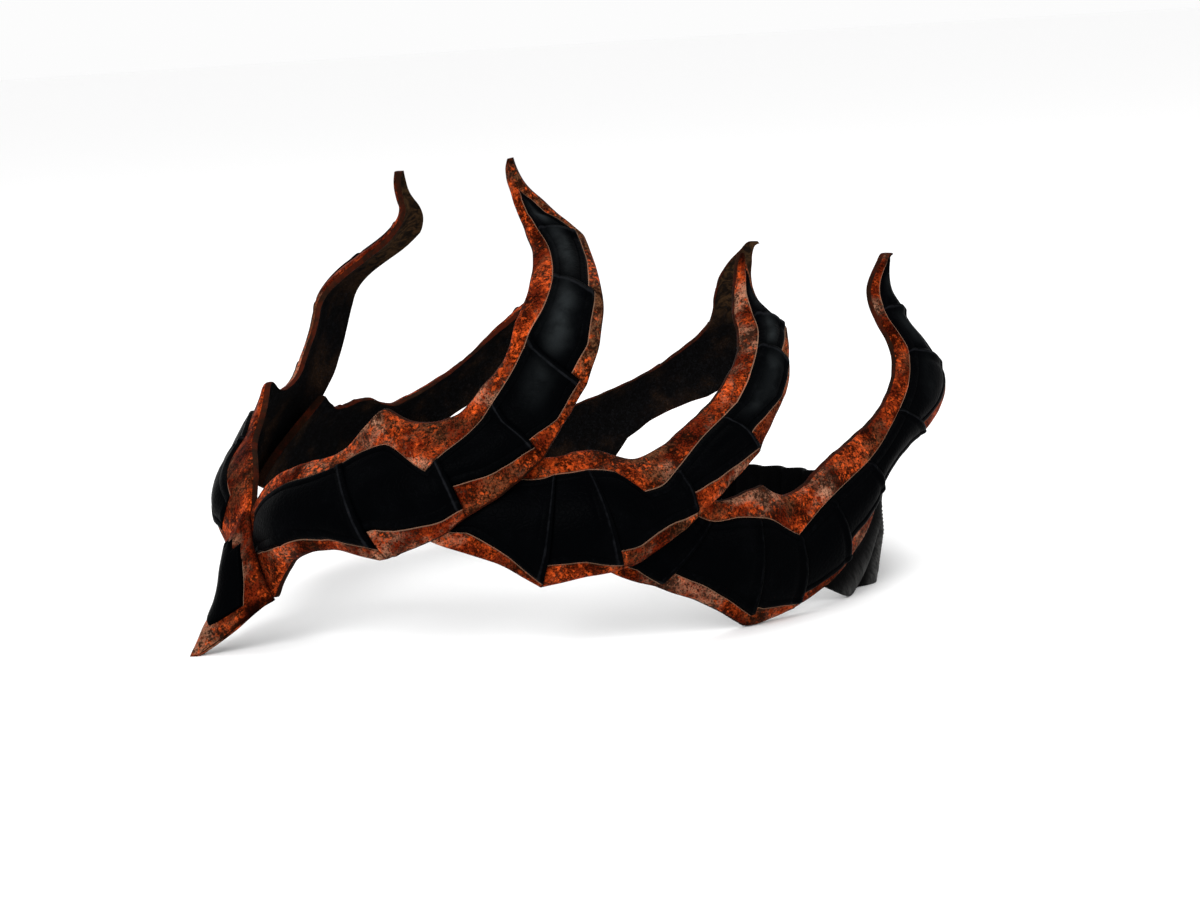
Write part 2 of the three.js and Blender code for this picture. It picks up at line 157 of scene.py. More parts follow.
FRONT_PLATE = {
    "name": "front_plate",
    "release": 72.0,
    "spring_radius": 400.0,
    "lean": 11.0,
    "curl": (85.0, 118.0, 33.0),
    "panel": {"start": 1.08, "start_round": 0.06, "end": 19.65, "end_taper": 0.5, "start_flat": 0.9},
    "right": {"tip_drop": 5.6, "panel_start": 2.4, "brow_border": 4.0, "lame_share": 0.35},
    "rows": (
        (0.6, 36.4, 6.8, 25.8, 5, 6, 6, 0.2, 0.6, 0, ""),
        (0.8, 37.9, 11.5, 15.4, 7.3, 14.3, 14.3, 0.3, 0.6, 0, ""),
        (5, 45.4, 16, 21, 5.8, 9, 9, 1.6, 0.68, 0, ""),
        (17, 51.8, 22, 27.2, 5.7, 4.4, 4.4, 3.8, 0.72, 0, ""),
        (27, 54.3, 36, 31.1, 5.4, 3, 3, 4, 0.7, 0, ""),
        (33.6, 56.2, 50.8, 28.8, 4.8, 4.6, 4.6, 4, 0.67, 0.2, "low"),
        (35.2, 57, 53.4, 29.4, 4.7, 3.2, 8, 4, 0.66, 0.4, ""),
        (42.6, 63.6, 55, 30, 7.5, 7, 7, 4.1, 0.63, 0.8, ""),
        (49.8, 68.8, 57.5, 31, 10.7, 5.4, 5.4, 4.2, 0.6, 1.7, ""),
        (58.8, 65.3, 71, 36.1, 17, 2.5, 2.5, 4.4, 0.54, 4.1, "notch"),
        (62.5, 64.9, 76, 39, 13.2, 1.7, 7.3, 4.4, 0.52, 5, ""),
        (72.5, 66.7, 87, 44.6, 7.2, 4.8, 4.8, 4.4, 0.5, 5.4, ""),
        (81.5, 75.1, 97, 52.2, 5, 3.6, 6.4, 3.6, 0.5, 5.4, "low"),
        (87.2, 81.4, 103, 62.8, 3.9, 2.7, 2.7, 2.9, 0.5, 5.2, ""),
        (91, 90.2, 110, 74, 5.1, 2.4, 5.4, 2.3, 0.5, 4.8, "low"),
        (93.4, 95.2, 113.9, 83.8, 6.9, 3.4, 3.4, 2, 0.5, 3.6, ""),
        (95.2, 101.2, 116, 93.6, 7, 2.5, 4.3, 1.8, 0.5, 1.6, ""),
        (95.2, 106.6, 114.4, 102, 5.7, 2.9, 2.9, 1.7, 0.5, 0, ""),
        (92.6, 112.6, 111.4, 110.2, 4.1, 2.6, 3.4, 1.5, 0.5, -0.4, "low"),
        (89.6, 121.3, 99.8, 120.6, 3.3, 3.2, 3.2, 1.2, 0.5, -0.4, ""),
        (87.8, 128, 92.8, 127.6, 2.4, 3, 3, 0.9, 0.5, 0, ""),
        (87.7, 131, 91.2, 131.2, 1.4, 1.6, 1.6, 0.5, 0.5, 0, ""),
        (88.5, 133.5, 90.4, 133.8, 0.4, 0.4, 0.4, 0.2, 0.5, 0, ""),
    ),
}

MIDDLE_PLATE = {
    "name": "middle_plate",
    "lip_share": 0.92,
    "release": 135.0,
    "spring_radius": 400.0,
    "lean": 11.0,
    "curl": (62.0, 98.0, 24.0),
    "panel": {"start": 0.35, "start_round": 0.2, "end": 17.6, "end_taper": 1.6, "start_flat": 0.3},
    "rows": (
        (90, 58.5, 62, 34.8, 3, 3, 3, 0.2, 0.5, 0, ""),
        (95, 55, 71, 31.4, 9, 6, 6, 1.2, 0.5, 0, ""),
        (98.5, 53.4, 84, 26.4, 7, 3.5, 3.5, 2.4, 0.55, 0, ""),
        (101.5, 53.4, 94, 19.5, 5.5, 1.2, 7, 3.6, 0.6, 0, "low"),
        (104.5, 53.7, 105.5, 21.8, 5.8, 5, 5, 4.2, 0.6, 2.6, ""),
        (108, 54.3, 115.2, 23.4, 6.5, 1.5, 6, 4.2, 0.6, 5.1, ""),
        (114, 54, 121, 25.4, 7.5, 5, 5, 4.2, 0.58, 5.4, ""),
        (119.5, 51.8, 126, 28, 11.5, 4.4, 4.4, 4.2, 0.55, 5.4, "notch"),
        (125, 50.6, 131, 30.6, 9.5, 3.2, 3.2, 4.2, 0.5, 5.4, ""),
        (131, 52, 137.2, 33.6, 7.5, 1.2, 5.5, 4.2, 0.48, 5.2, ""),
        (143.5, 57.6, 149.4, 39.6, 5, 3, 3, 4.4, 0.46, 4.8, ""),
        (150.4, 61.6, 161.9, 46.6, 4.6, 1, 5.5, 4, 0.5, 4, "low"),
        (161.5, 69.7, 173.4, 58.2, 4, 2.6, 2.6, 3.8, 0.5, 3, ""),
        (168.3, 75.5, 180.6, 68.4, 4, 1, 4, 3.4, 0.5, 2, "low"),
        (171, 79, 184.2, 73, 4.4, 2.2, 2.2, 3, 0.5, 1.4, ""),
        (173, 83, 187.2, 77.4, 4.2, 1, 4, 2.6, 0.5, 0.8, "low"),
        (176.8, 88.7, 183.8, 84.3, 3, 2.4, 2.4, 1.8, 0.5, 0.3, ""),
        (180.7, 95, 184.9, 92, 1.8, 1.6, 1.6, 1.1, 0.5, 0, ""),
        (182.1, 99.2, 184.4, 98.4, 0.9, 0.9, 0.9, 0.5, 0.5, 0, ""),
        (183, 101, 183.8, 100.8, 0.3, 0.3, 0.3, 0.2, 0.5, 0, ""),
    ),
}

REAR_PLATE = {
    "name": "rear_plate",
    "lip_share": 0.85,
    "sheen_share": 0.35,
    "release": 172.0,
    "spring_radius": 500.0,
    "lean": 3.0,
    "curl": (50.0, 88.0, 16.0),
    "panel": {"start": 0.3, "start_round": 0.2, "end": 24.2, "end_taper": 1.6, "start_flat": 0.3},
    "rows": (
        (136, 41.5, 108, 26, 3, 3, 3, 0.2, 0.5, 0, ""),
        (143, 38.4, 117, 19.6, 6, 4, 4, 1, 0.5, 0, ""),
        (147, 37.2, 126, 16.2, 6.6, 1.2, 5.6, 2.4, 0.55, 0, "low"),
        (153, 37.4, 143, 7.5, 5.6, 4, 4, 4, 0.55, 0, ""),
        (158.5, 38.4, 153.6, 0.3, 7.4, 3.4, 6.2, 4.4, 0.55, 0, "low"),
        (163, 39, 157.5, 0, 9.1, 5, 5, 4.4, 0.55, 0, "top low"),
        (168, 35.8, 164.3, 0.8, 9.4, 3.6, 3.6, 4.4, 0.55, 0.3, ""),
        (171.2, 34.8, 171.3, 1.8, 11, 1.6, 4, 4.2, 0.55, 0.8, "low notch"),
        (180, 36.2, 185.3, 6.9, 6.9, 3.2, 3.2, 4, 0.5, 2.6, ""),
        (184.3, 38.2, 192.2, 10.6, 6.8, 2.4, 7.2, 3.6, 0.5, 2.9, "low"),
        (193, 42, 203.8, 19.4, 7.1, 5, 5, 3.3, 0.5, 2.6, ""),
        (200.5, 44.4, 211, 28.8, 6.8, 1.4, 2.4, 3.2, 0.5, 1.8, "low"),
        (208.5, 47, 219, 34, 5.8, 1.6, 1.6, 3.2, 0.5, 0.8, ""),
        (216.5, 50, 229, 38.3, 4.6, 1.2, 1.2, 3, 0.5, 0, ""),
        (222.5, 53, 239, 41, 4, 0.8, 5.5, 3, 0.5, 0, "low"),
        (229.8, 57.6, 250, 46.4, 4.2, 4.6, 4.6, 3, 0.5, 0, ""),
        (235.5, 62, 256.4, 52.8, 4, 3, 3, 2.8, 0.5, 0, ""),
        (238.6, 65.8, 257.5, 59, 4, 1, 4, 2.6, 0.5, 0, "low"),
        (240, 70, 255.6, 64.5, 3, 2.6, 2.6, 2.4, 0.5, 0, ""),
        (240, 74.5, 253, 70.5, 2.4, 2, 2, 2.2, 0.5, 0, ""),
        (240.4, 78, 254, 75, 2.2, 1, 3, 2.6, 0.5, 0, "low"),
        (241.8, 83, 252.8, 81, 2.2, 2.4, 2.4, 2, 0.5, 0, ""),
        (244.8, 87.5, 253, 86.5, 2, 2, 2, 1.4, 0.5, 0, ""),
        (249.4, 91.6, 253.4, 90.2, 1.4, 1.4, 1.4, 0.7, 0.5, 0, ""),
        (252.4, 94, 254.6, 92.8, 0.8, 0.8, 0.8, 0.4, 0.5, 0, ""),
        (255.4, 94, 256, 93.3, 0.3, 0.3, 0.3, 0.2, 0.5, 0, ""),
    ),
}

# The brow plate is folded along its middle: each row runs from the ridge to one side edge,
# leather is its thickness there and panel the share of the way that the black panel covers.
CENTRE_COLUMNS = ("ridge_y", "ridge_z", "edge_x", "edge_y", "edge_z", "leather", "panel", "corner")
CENTRE_ROWS = (
    (-102.7, 38.9, 1.6, -102.6, 38.5, 1.1, 0.5, ""),
    (-105.2, 34.4, 4.6, -103.5, 35.2, 1.2, 0.58, ""),
    (-108.0, 29.4, 7.0, -104.75, 32.0, 1.4, 0.62, ""),
    (-110.4, 22.8, 9.4, -104.7, 26.8, 1.7, 0.65, ""),
    (-111.9, 16.5, 11.4, -104.1, 22.0, 1.9, 0.63, ""),
    (-114.0, 11.5, 12.8, -103.2, 18.6, 1.7, 0.61, ""),
    (-116.3, 8.0, 14.2, -102.6, 17.0, 1.5, 0.61, ""),
    (-118.6, 5.7, 15.4, -102.4, 15.6, 1.5, 0.58, "edge"),
    (-120.0, 3.8, 11.0, -106.8, 11.0, 2.2, 0.5, ""),
    (-121.2, 2.2, 7.4, -111.8, 6.2, 2.5, 0.5, ""),
    (-122.2, 0.9, 4.2, -116.8, 2.4, 2.6, 0.5, ""),
    (-122.8, 0.0, 1.8, -121.0, 0.0, 2.6, 0.5, ""),
)

# The brow panel lies between two rows of the mesh, which are pulled to its V-shaped top and slanted foot:
# shares of the way from the ridge to the panel's side, and the rows of the table there.
CENTRE_PANEL = (2, 6)
PANEL_SHARES = (0.0, 0.38, 1.0)
PANEL_TOP = (1.56, 2.1, 1.95)
PANEL_FOOT = (6.05, 5.85, 5.5)
PANEL_TOP_REACH = (0.5, 4.0)
PANEL_FOOT_REACH = (4.0, 7.0)
# Rows over which the panel rises outside and inside its ends, and how fast its knife line deepens
PANEL_FADE = (0.02, 0.2)
PANEL_SHARPNESS = 4.0

# The line cut along the nose guard, by rows, and the darker patch on the plate's tails, by rows and shares
NOSE_LINE_ROWS = (7.0, 7.4)
NOSE_LINE_INSET = 3.0
NOSE_LINE_DEPTH = 0.4
TAIL_DARK_ROWS = (5.4, 6.6, 8.0, 8.8)
TAIL_DARK_SHARES = (0.56, 0.74)

# The most of the brow's half width that each tool takes
BROW_LIMITS = {"skive": 0.14, "bevel": 0.12, "knife": 0.05, "line": 0.3}
# The slope round the brow's panel, as shares of the bevel and of the rise, and where it ends
BROW_BEVEL = ((0.4, 0.55), (0.8, 0.9))
BROW_BEVEL_END = 1.3
# Places across the brow's border, panel and inner face, and the share of thickness at its inner rim
BROW_BORDER_PARTS = np.linspace(0.85, 0.0, 5)
BROW_PANEL_PARTS = np.linspace(1.0, 0.06, 14)
BROW_INSIDE_PARTS = np.linspace(-0.97, 0.97, 17)
BROW_INNER_RIM = 0.12
# The shortest way and fewest sections between two rows of the brow
BROW_LEAST_REACH = 3.0
BROW_LEAST_STEPS = 4
# How far apart its slope is measured, and the rounding along its ridge, as shares of the half width
NORMAL_REACH = 0.03
RIDGE_ROUNDING = 0.35

# Lengths where the strap starts, is level below and leans in, and its lower edge's height at the start
STRAP_START = 183.0
STRAP_FLAT_FROM = 198.0
STRAP_LEAN = (204.0, 240.0)
STRAP_START_BOTTOM = 6.0
# The strap's section: its rounded edges, the places down its faces, and how far wear reaches in
STRAP_HEM = 0.5
STRAP_ROUND = 0.15
STRAP_OUTER_PARTS = np.linspace(0.985, 0.015, 22)
STRAP_INNER_PARTS = np.linspace(0.02, 0.98, 14)
STRAP_RIM_REACH = 3.0
# Where the side pleats gather, as a length and a height over the strap, and the angles of their fan
GATHER_AT = 247.0
GATHER_OVER = 4.0
FAN_LIMITS = (math.radians(62.0), math.radians(76.0))

# The pleats: their lean to one side, their flattening at the top, their creases and their unevenness
PLEAT_SKEW = 0.35
PLEAT_PINCH = 0.4
CREASE_SHARE = 0.075
CREASE_PHASE = 0.8
UNEVEN_LEAST = 0.85
UNEVEN_RANGE = 0.3
UNEVEN_TURNS = (2.4, 0.7)

# Face finishes, in the order of a plate's material slots
COPPER, BLACK, EDGE, INSIDE = range(4)


def length_property(label, words, millimetres):
    """A length that a user may change, given in millimetres."""
    return bpy.props.FloatProperty(name=label, description=words, default=millimetres * MILLI,
                                   unit="LENGTH", precision=5)


def angle_property(label, words, degrees):
    """An angle that a user may change, given in degrees."""
    return bpy.props.FloatProperty(name=label, description=words, default=math.radians(degrees),
                                   subtype="ANGLE")


def power_property(label, words, watts):
    """The power of a light."""
    return bpy.props.FloatProperty(name=label, description=words, default=watts, unit="POWER")


def colour_property(label, words, colour):
    """A linear colour that a user may change."""
    return bpy.props.FloatVectorProperty(name=label, description=words, default=colour, size=3,
                                         subtype="COLOR", min=0.0, max=1.0)


class LeatherSettings(bpy.types.PropertyGroup):
    """Sizes of the tooled leather."""
    thickness: length_property("Leather", "Thickness of the plates", 2.6)
    panel_rise: length_property("Panel rise", "How far the black panel stands over the border", 1.0)
    lame_step: length_property("Lame step", "How far the end of a lame stands over the next one", 0.8)
    lame_cut: length_property("Lame cut", "Length of the drop at the end of a lame", 0.25)
    bevel: length_property("Bevel", "Width of the tooled slope round a panel", 0.8)
    skive: length_property("Skive", "Width over which the edges thin down", 1.5)
    groove: length_property("Groove", "Depth of the knife line between border and panel", 0.25)
    tool_inset: length_property("Tool line inset", "Distance of the tooled line from the panel's edge", 1.3)
    tool_depth: length_property("Tool line depth", "Depth of the tooled line", 0.2)
    bead_rise: length_property("Bead", "Height of the rolled bead at the end of a lame", 0.45)
    pillow: length_property("Pillow", "Crown of a lame across its width", 0.5)
    waver: length_property("Waver", "Unevenness of the hand-cut edges", 0.18)
    spacing: length_property("Spacing", "Distance between the sections of a mesh", 0.5)


class StrapSettings(bpy.types.PropertyGroup):
    """Sizes of the pleated strap."""
    thickness: length_property("Leather", "Thickness of the strap", 1.8)
    height: length_property("Height", "Height of the strap", 20.0)
    cut_length: length_property("Cut length", "Length of the strap before it is gathered", 257.0)
    pleat_pitch: length_property("Pleat pitch", "Distance between the pleats behind", 9.0)
    pleat_depth: length_property("Pleat depth", "Depth of the pleats at the lower edge", 3.6)
    pleat_fan: angle_property("Pleat fan", "Angle between the pleats at each side", 15.0)
    hem_wave: length_property("Hem wave", "How far the lower edge rises between pleats", 0.4)
    nape_lean: length_property("Nape lean", "How far the lower edge leans in at the back", 4.5)
    spacing: length_property("Spacing", "Distance between the sections of the mesh", 0.6)


class FinishSettings(bpy.types.PropertyGroup):
    """Colours of the finishes."""
    rust: colour_property("Rust", "Brown ground of the patina", (0.1, 0.01, 0.0025))
    orange: colour_property("Orange", "Orange-red clouds of the patina", (0.48, 0.06, 0.0095))
    fleck: colour_property("Fleck", "Bright flecks in the orange clouds", (0.85, 0.11, 0.016))
    tan: colour_property("Tan", "Rubbed tan patches", (0.52, 0.265, 0.16))
    bronze: colour_property("Bronze", "Grey bronze patches", (0.12, 0.058, 0.026))
    soot: colour_property("Soot", "Dark grains and blotches", (0.003, 0.0008, 0.0004))
    black: colour_property("Black", "Dyed black panels", (0.0004, 0.0005, 0.0007))
    # A painted sheen: a lighter black in the middle of the horns' lames that stands in for their highlight
    sheen_black: colour_property("Painted sheen black", "Handled middle of the horns' panels",
                              (0.015, 0.0175, 0.0185))
    # Worn black is also laid on the panels' beads and tooled rims, partly as wear and partly as a painted
    # highlight
    worn_black: colour_property("Worn black", "Rubbed high places of black leather", (0.016, 0.017, 0.02))
    cut_edge: colour_property("Cut edge", "Burnished edges", (0.012, 0.005, 0.003))
    pale_cut: colour_property("Pale cut", "Bare leather in the knife line", (0.34, 0.2, 0.13))
    flesh: colour_property("Flesh side", "Dyed inner face", (0.0022, 0.002, 0.002))
    tip: colour_property("Tip stain", "Brown inner face of the horn tips", (0.04, 0.021, 0.0095))
    strap: colour_property("Strap", "Soft black leather", (0.0011, 0.0011, 0.0012))
    # A painted highlight: the lighter colour laid on the pleat ridges stands in for their lit crests
    strap_ridge_highlight: colour_property("Strap streaks", "Lighter streaks on the pleats", (0.085, 0.084, 0.082))


class StageSettings(bpy.types.PropertyGroup):
    """The studio."""
    floor_radius: length_property("Floor radius", "Size of the floor", 9000.0)
    floor_colour: colour_property("Floor", "Colour of the floor", (0.98, 0.98, 0.98))
    sky_strength: bpy.props.FloatProperty(name="Surround", description="Light from all round", default=0.975)
    key_power: power_property("Key light", "Power of the large soft light", 13.0)
    side_power: power_property("Side light", "Power of the light at the side", 5.0)
    top_power: power_property("Top light", "Power of the light above", 5.0)
    azimuth: angle_property("Azimuth", "Camera's turn from the front", 60.0)
    elevation: angle_property("Elevation", "Camera's height over the horizon", 9.8)
    roll: angle_property("Roll", "Camera's tilt", -3.5)
    lens: bpy.props.FloatProperty(name="Lens", description="Focal length in millimetres", default=79.17)
    distance: length_property("Distance", "From the camera to its target", 800.0)
    target: bpy.props.FloatVectorProperty(name="Target", description="What the camera looks at",
                                          default=(0.0065, 0.01847, 0.0414), size=3,
                                          subtype="TRANSLATION", unit="LENGTH")


class CrownSettings(bpy.types.PropertyGroup):
    """Everything that a user may change."""
    leather: bpy.props.PointerProperty(type=LeatherSettings)
    strap: bpy.props.PointerProperty(type=StrapSettings)
    finish: bpy.props.PointerProperty(type=FinishSettings)
    stage: bpy.props.PointerProperty(type=StageSettings)


# Curves of the band and the plates


def ease(low, high, value):
    """Half a cosine from 0 at low to 1 at high."""
    share = np.clip((value - low) / (high - low), 0.0, 1.0)
    return (1.0 - np.cos(np.pi * share)) / 2.0


def ease_slope(low, high, value):
    """The slope of ease."""
    share = np.clip((value - low) / (high - low), 0.0, 1.0)
    return np.pi / (2.0 * (high - low)) * np.sin(np.pi * share)


def band_table():
    """Lengths along half of the band and the angle at each."""
    angles = np.linspace(0.0, np.pi, BAND_STEPS + 1)
    middle = (angles[1:] + angles[:-1]) / 2.0
    speed = np.hypot(BAND_HALF_WIDTH * np.cos(middle), BAND_HALF_LENGTH * np.sin(middle))
    return np.concatenate([[0.0], np.cumsum(speed * np.pi / BAND_STEPS)]), angles


BAND_LENGTHS, BAND_ANGLES = band_table()
HALF_GIRTH = float(BAND_LENGTHS[-1])


def band_at(length):
    """Point, direction and outward direction of the band at a length from the brow."""
    angle = np.interp(length, BAND_LENGTHS, BAND_ANGLES)
    point = np.stack([BAND_HALF_WIDTH * np.sin(angle), BAND_CENTRE_Y - BAND_HALF_LENGTH * np.cos(angle)], -1)
    along = np.stack([BAND_HALF_WIDTH * np.cos(angle), BAND_HALF_LENGTH * np.sin(angle)], -1)
    along /= np.linalg.norm(along, axis=-1, keepdims=True)
    return point, along, np.stack([along[..., 1], -along[..., 0]], -1)


def wall_point(plate, length, height, distance):
    """A point of a plate at a length round the band, a height and a distance from its inner side."""
    radius = plate["spring_radius"]
    point, along, out = band_at(np.minimum(length, plate["release"]))
    turn = (np.maximum(length - plate["release"], 0.0) / radius)[..., None]
    point = point + radius * (along * np.sin(turn) - out * (1.0 - np.cos(turn)))
    out = out * np.cos(turn) + along * np.sin(turn)
    curl_from, curl_to, curl_depth = plate["curl"]
    bends = ((plate["lean"], *LEAN_HEIGHTS), (curl_depth, curl_from, curl_to))
    inset = sum(depth * ease(low, high, height) for depth, low, high in bends)
    slope = sum(depth * ease_slope(low, high, height) for depth, low, high in bends)
    normal = np.concatenate([out, slope[..., None]], -1)
    normal /= np.linalg.norm(normal, axis=-1, keepdims=True)
    base = np.concatenate([point - out * inset[..., None], height[..., None]], -1)
    return base + normal * distance[..., None]


def read_table(columns, rows):
    """A table's columns by name."""
    return {name: [row[k] for row in rows] for k, name in enumerate(columns)}


def join(start, end, leave, arrive, share):
    """A smooth way from start to end that leaves and arrives with the given slopes."""
    back = 1 - share
    return (start * (1 + 2 * share) * back ** 2 + end * share ** 2 * (3 - 2 * share)
            + leave * share * back ** 2 - arrive * share ** 2 * back)


def smooth_line(points, breaks):
    """A smooth line through points, with corners at the breaks, read at a row and a share of the way on."""
    points = np.array(points, float).reshape(len(points), -1)
    chord = np.diff(points, axis=0)
    span = np.maximum(np.linalg.norm(chord, axis=1), 1e-6)
    heading = chord / span[:, None]
    last = len(points) - 1
    leave = np.zeros_like(points)
    arrive = np.zeros_like(points)
    for k in range(last + 1):
        before = heading[max(k - 1, 0)]
        after = heading[min(k, last - 1)]
        if k in (0, last) or breaks[k]:
            leave[k], arrive[k] = after, before
        else:
            through = (before * span[k] + after * span[k - 1]) / (span[k - 1] + span[k])
            leave[k], arrive[k] = through, through

    def read(k, t):
        size = span[k][:, None]
        return join(points[k], points[k + 1], leave[k] * size, arrive[k + 1] * size, t[:, None])

    return read


def smooth_column(values):
    """Numbers down a table, joined smoothly and read at a row and a share of the way on."""
    values = np.array(values, float)
    step = np.diff(values)
    slope = (np.concatenate([step[:1], step]) + np.concatenate([step, step[-1:]])) / 2.0

    def read(k, t):
        return join(values[k], values[k + 1], slope[k], slope[k + 1], t)

    return read


# Meshes


def ring_mesh(name, rings, finishes, masks, materials, mirror=False):
    """A closed solid from sections: rings is (section, place, xyz) in millimetres, finishes holds a
    material number for each face (section, place), and masks are numbers for each point."""
    sections, places, _ = rings.shape
    points = rings.reshape(-1, 3) * MILLI
    if mirror:
        points = points * np.array([-1.0, 1.0, 1.0])
    i, j = np.meshgrid(np.arange(sections - 1), np.arange(places), indexing="ij")
    following = (j + 1) % places
    quads = np.stack([i * places + j, i * places + following,
                      (i + 1) * places + following, (i + 1) * places + j], -1).reshape(-1, 4)
    caps = [list(range(places - 1, -1, -1)), list(range((sections - 1) * places, sections * places))]
    faces = [list(map(int, quad)) for quad in quads] + caps
    if mirror:
        faces = [face[::-1] for face in faces]
    mesh = bpy.data.meshes.new(name)
    mesh.from_pydata([tuple(map(float, point)) for point in points], [], faces)
    for material in materials:
        mesh.materials.append(material)
    numbers = np.concatenate([finishes.reshape(-1), [EDGE if len(materials) > 1 else 0] * 2]).astype(np.int32)
    mesh.polygons.foreach_set("material_index", numbers)
    mesh.polygons.foreach_set("use_smooth", np.ones(len(faces), dtype=bool))
    for label, mask in masks.items():
        attribute = mesh.attributes.new(label, "FLOAT", "POINT")
        attribute.data.foreach_set("value", np.ascontiguousarray(mask, np.float32).reshape(-1))
    mesh.update()
    mesh.validate()
    mesh.set_sharp_from_angle(angle=SHARP_ANGLE)
    piece = bpy.data.objects.new(name, mesh)
    bpy.context.scene.collection.objects.link(piece)
    return piece


def take_place(piece, node):
    """The piece stands for its node, which it hides, and rides on the crown."""
    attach(piece, BODY)
    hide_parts(node)


def plate_stations(rows, lame_ends, top, low, leather):
    """Rows and shares of the way where a plate has its sections, close together at each lame's end."""
    starts, shares = [], []
    count = len(rows["top_s"])
    for k in range(count - 1):
        here, there = np.array([k, k]), np.array([0.0, 1.0])
        reach = [np.linalg.norm(np.diff(line(here, there), axis=0)) for line in (top, low)]
        span = max(reach)
        steps = max(LEAST_STEPS, round(span / (leather.spacing / MILLI)))
        first = min(leather.lame_cut / MILLI / span, LAME_CUT_LIMIT) if k in lame_ends else 0.0
        own = list(first + (1.0 - first) * np.arange(steps) / steps)
        if k + 1 in lame_ends or k == count - 2:
            own.append(1.0)
        starts += [k] * len(own)
        shares += own
    return np.array(starts), np.array(shares)


def lame_places(place, length, bounds):
    """For each section: how far along its lame it is, and its distance from that lame's start and end."""
    marks = np.interp(bounds, place, length)
    lame = np.clip(np.searchsorted(np.array(bounds), place, side="left") - 1, 0, len(bounds) - 2)
    start, end = marks[lame], marks[lame + 1]
    share = np.clip((length - start) / np.maximum(end - start, 1e-6), 0.0, 1.0)
    return share, length - start, end - length, lame


def waver_along(length, seed):
    """Slow uneven waves of the hand-cut edge, between about -1 and 1."""
    return sum(np.sin(length * 2.0 * np.pi / pitch + seed * phase) for pitch, phase in WAVES) / len(WAVES)


def swell(value, centre, width):
    """A round swell that is 1 at the centre and dies away past the width."""
    return np.exp(-((value - centre) / width) ** 2)


def panel_line(rows, notches):
    """The upper or front edge of the black panel, smooth but for the notches between its humps."""
    top = np.column_stack([rows["top_s"], rows["top_z"]]).astype(float)
    low = np.column_stack([rows["low_s"], rows["low_z"]]).astype(float)
    across = low - top
    across /= np.linalg.norm(across, axis=1, keepdims=True)
    return smooth_line(top + across * np.array(rows["top_border"], float)[:, None], notches)


def plate_rings(plate, leather, seed):
    """Sections, face finishes and masks of one plate."""
    rows = read_table(PLATE_COLUMNS, plate["rows"])
    corner = {word: [word in text for text in rows["corner"]] for word in ("top", "low", "notch")}
    top_line = smooth_line(list(zip(rows["top_s"], rows["top_z"])), corner["top"])
    low_line = smooth_line(list(zip(rows["low_s"], rows["low_z"])), corner["low"])
    ending = np.array(rows["low_border"], float)
    following = np.array(rows["next_border"], float)
    lame_ends = np.flatnonzero(ending != following).tolist()
    k, t = plate_stations(rows, lame_ends, top_line, low_line, leather)
    place = k + t
    top, low = top_line(k, t), low_line(k, t)
    steps = np.linalg.norm(np.diff((top + low) / 2.0, axis=0), axis=1)
    length = np.concatenate([[0.0], np.cumsum(steps)])

    width = np.linalg.norm(low - top, axis=1)
    unit = (low - top) / width[:, None]
    waver = leather.waver / MILLI * np.clip(width / WAVER_FULL_WIDTH, 0.0, 1.0)
    at_floor = np.clip(low[:, 1] / WAVER_FULL_HEIGHT, 0.0, 1.0)
    top = top + unit * (waver * waver_along(length, seed))[:, None]
    low = low + unit * (waver * at_floor * waver_along(length, seed + LOW_WAVE_SHIFT))[:, None]
    width = np.linalg.norm(low - top, axis=1)

    panel = {**plate["panel"], "start": plate.get("panel_start", plate["panel"]["start"])}
    opened = np.clip((place - panel["start"]) / panel["start_round"], 0.0, 1.0)
    closing = np.clip((panel["end"] - place) / panel["end_taper"], 0.0, 1.0)
    taper = np.sqrt(1.0 - (1.0 - opened) ** 2) * closing
    top_border = ((panel_line(rows, corner["notch"])(k, t) - top) * unit).sum(axis=1)
    top_border = top_border + plate.get("brow_border", 0.0) * (1.0 - ease(*BROW_ROWS, place))
    top_border = np.minimum(top_border, TOP_BORDER_LIMIT * width)
    low_border = following[k] * (1.0 - t) + ending[k + 1] * t
    low_border = np.minimum(low_border, BORDERS_LIMIT * width - top_border)
    centre = (top_border + width - low_border) / 2.0
    half = np.maximum((width - low_border - top_border) / 2.0 * taper, LEAST_PANEL)

    rise, wear = lame_relief(plate, leather, panel, lame_ends, (place, length, taper))
    shape = {"first": centre - half, "last": centre + half, "rise": rise, "taper": taper}
    arch = {name: smooth_column(rows[name])(k, t) for name in ("dome", "crest", "lift")}
    return section_rings(plate, leather, (top, low - top, width), shape, arch, wear)


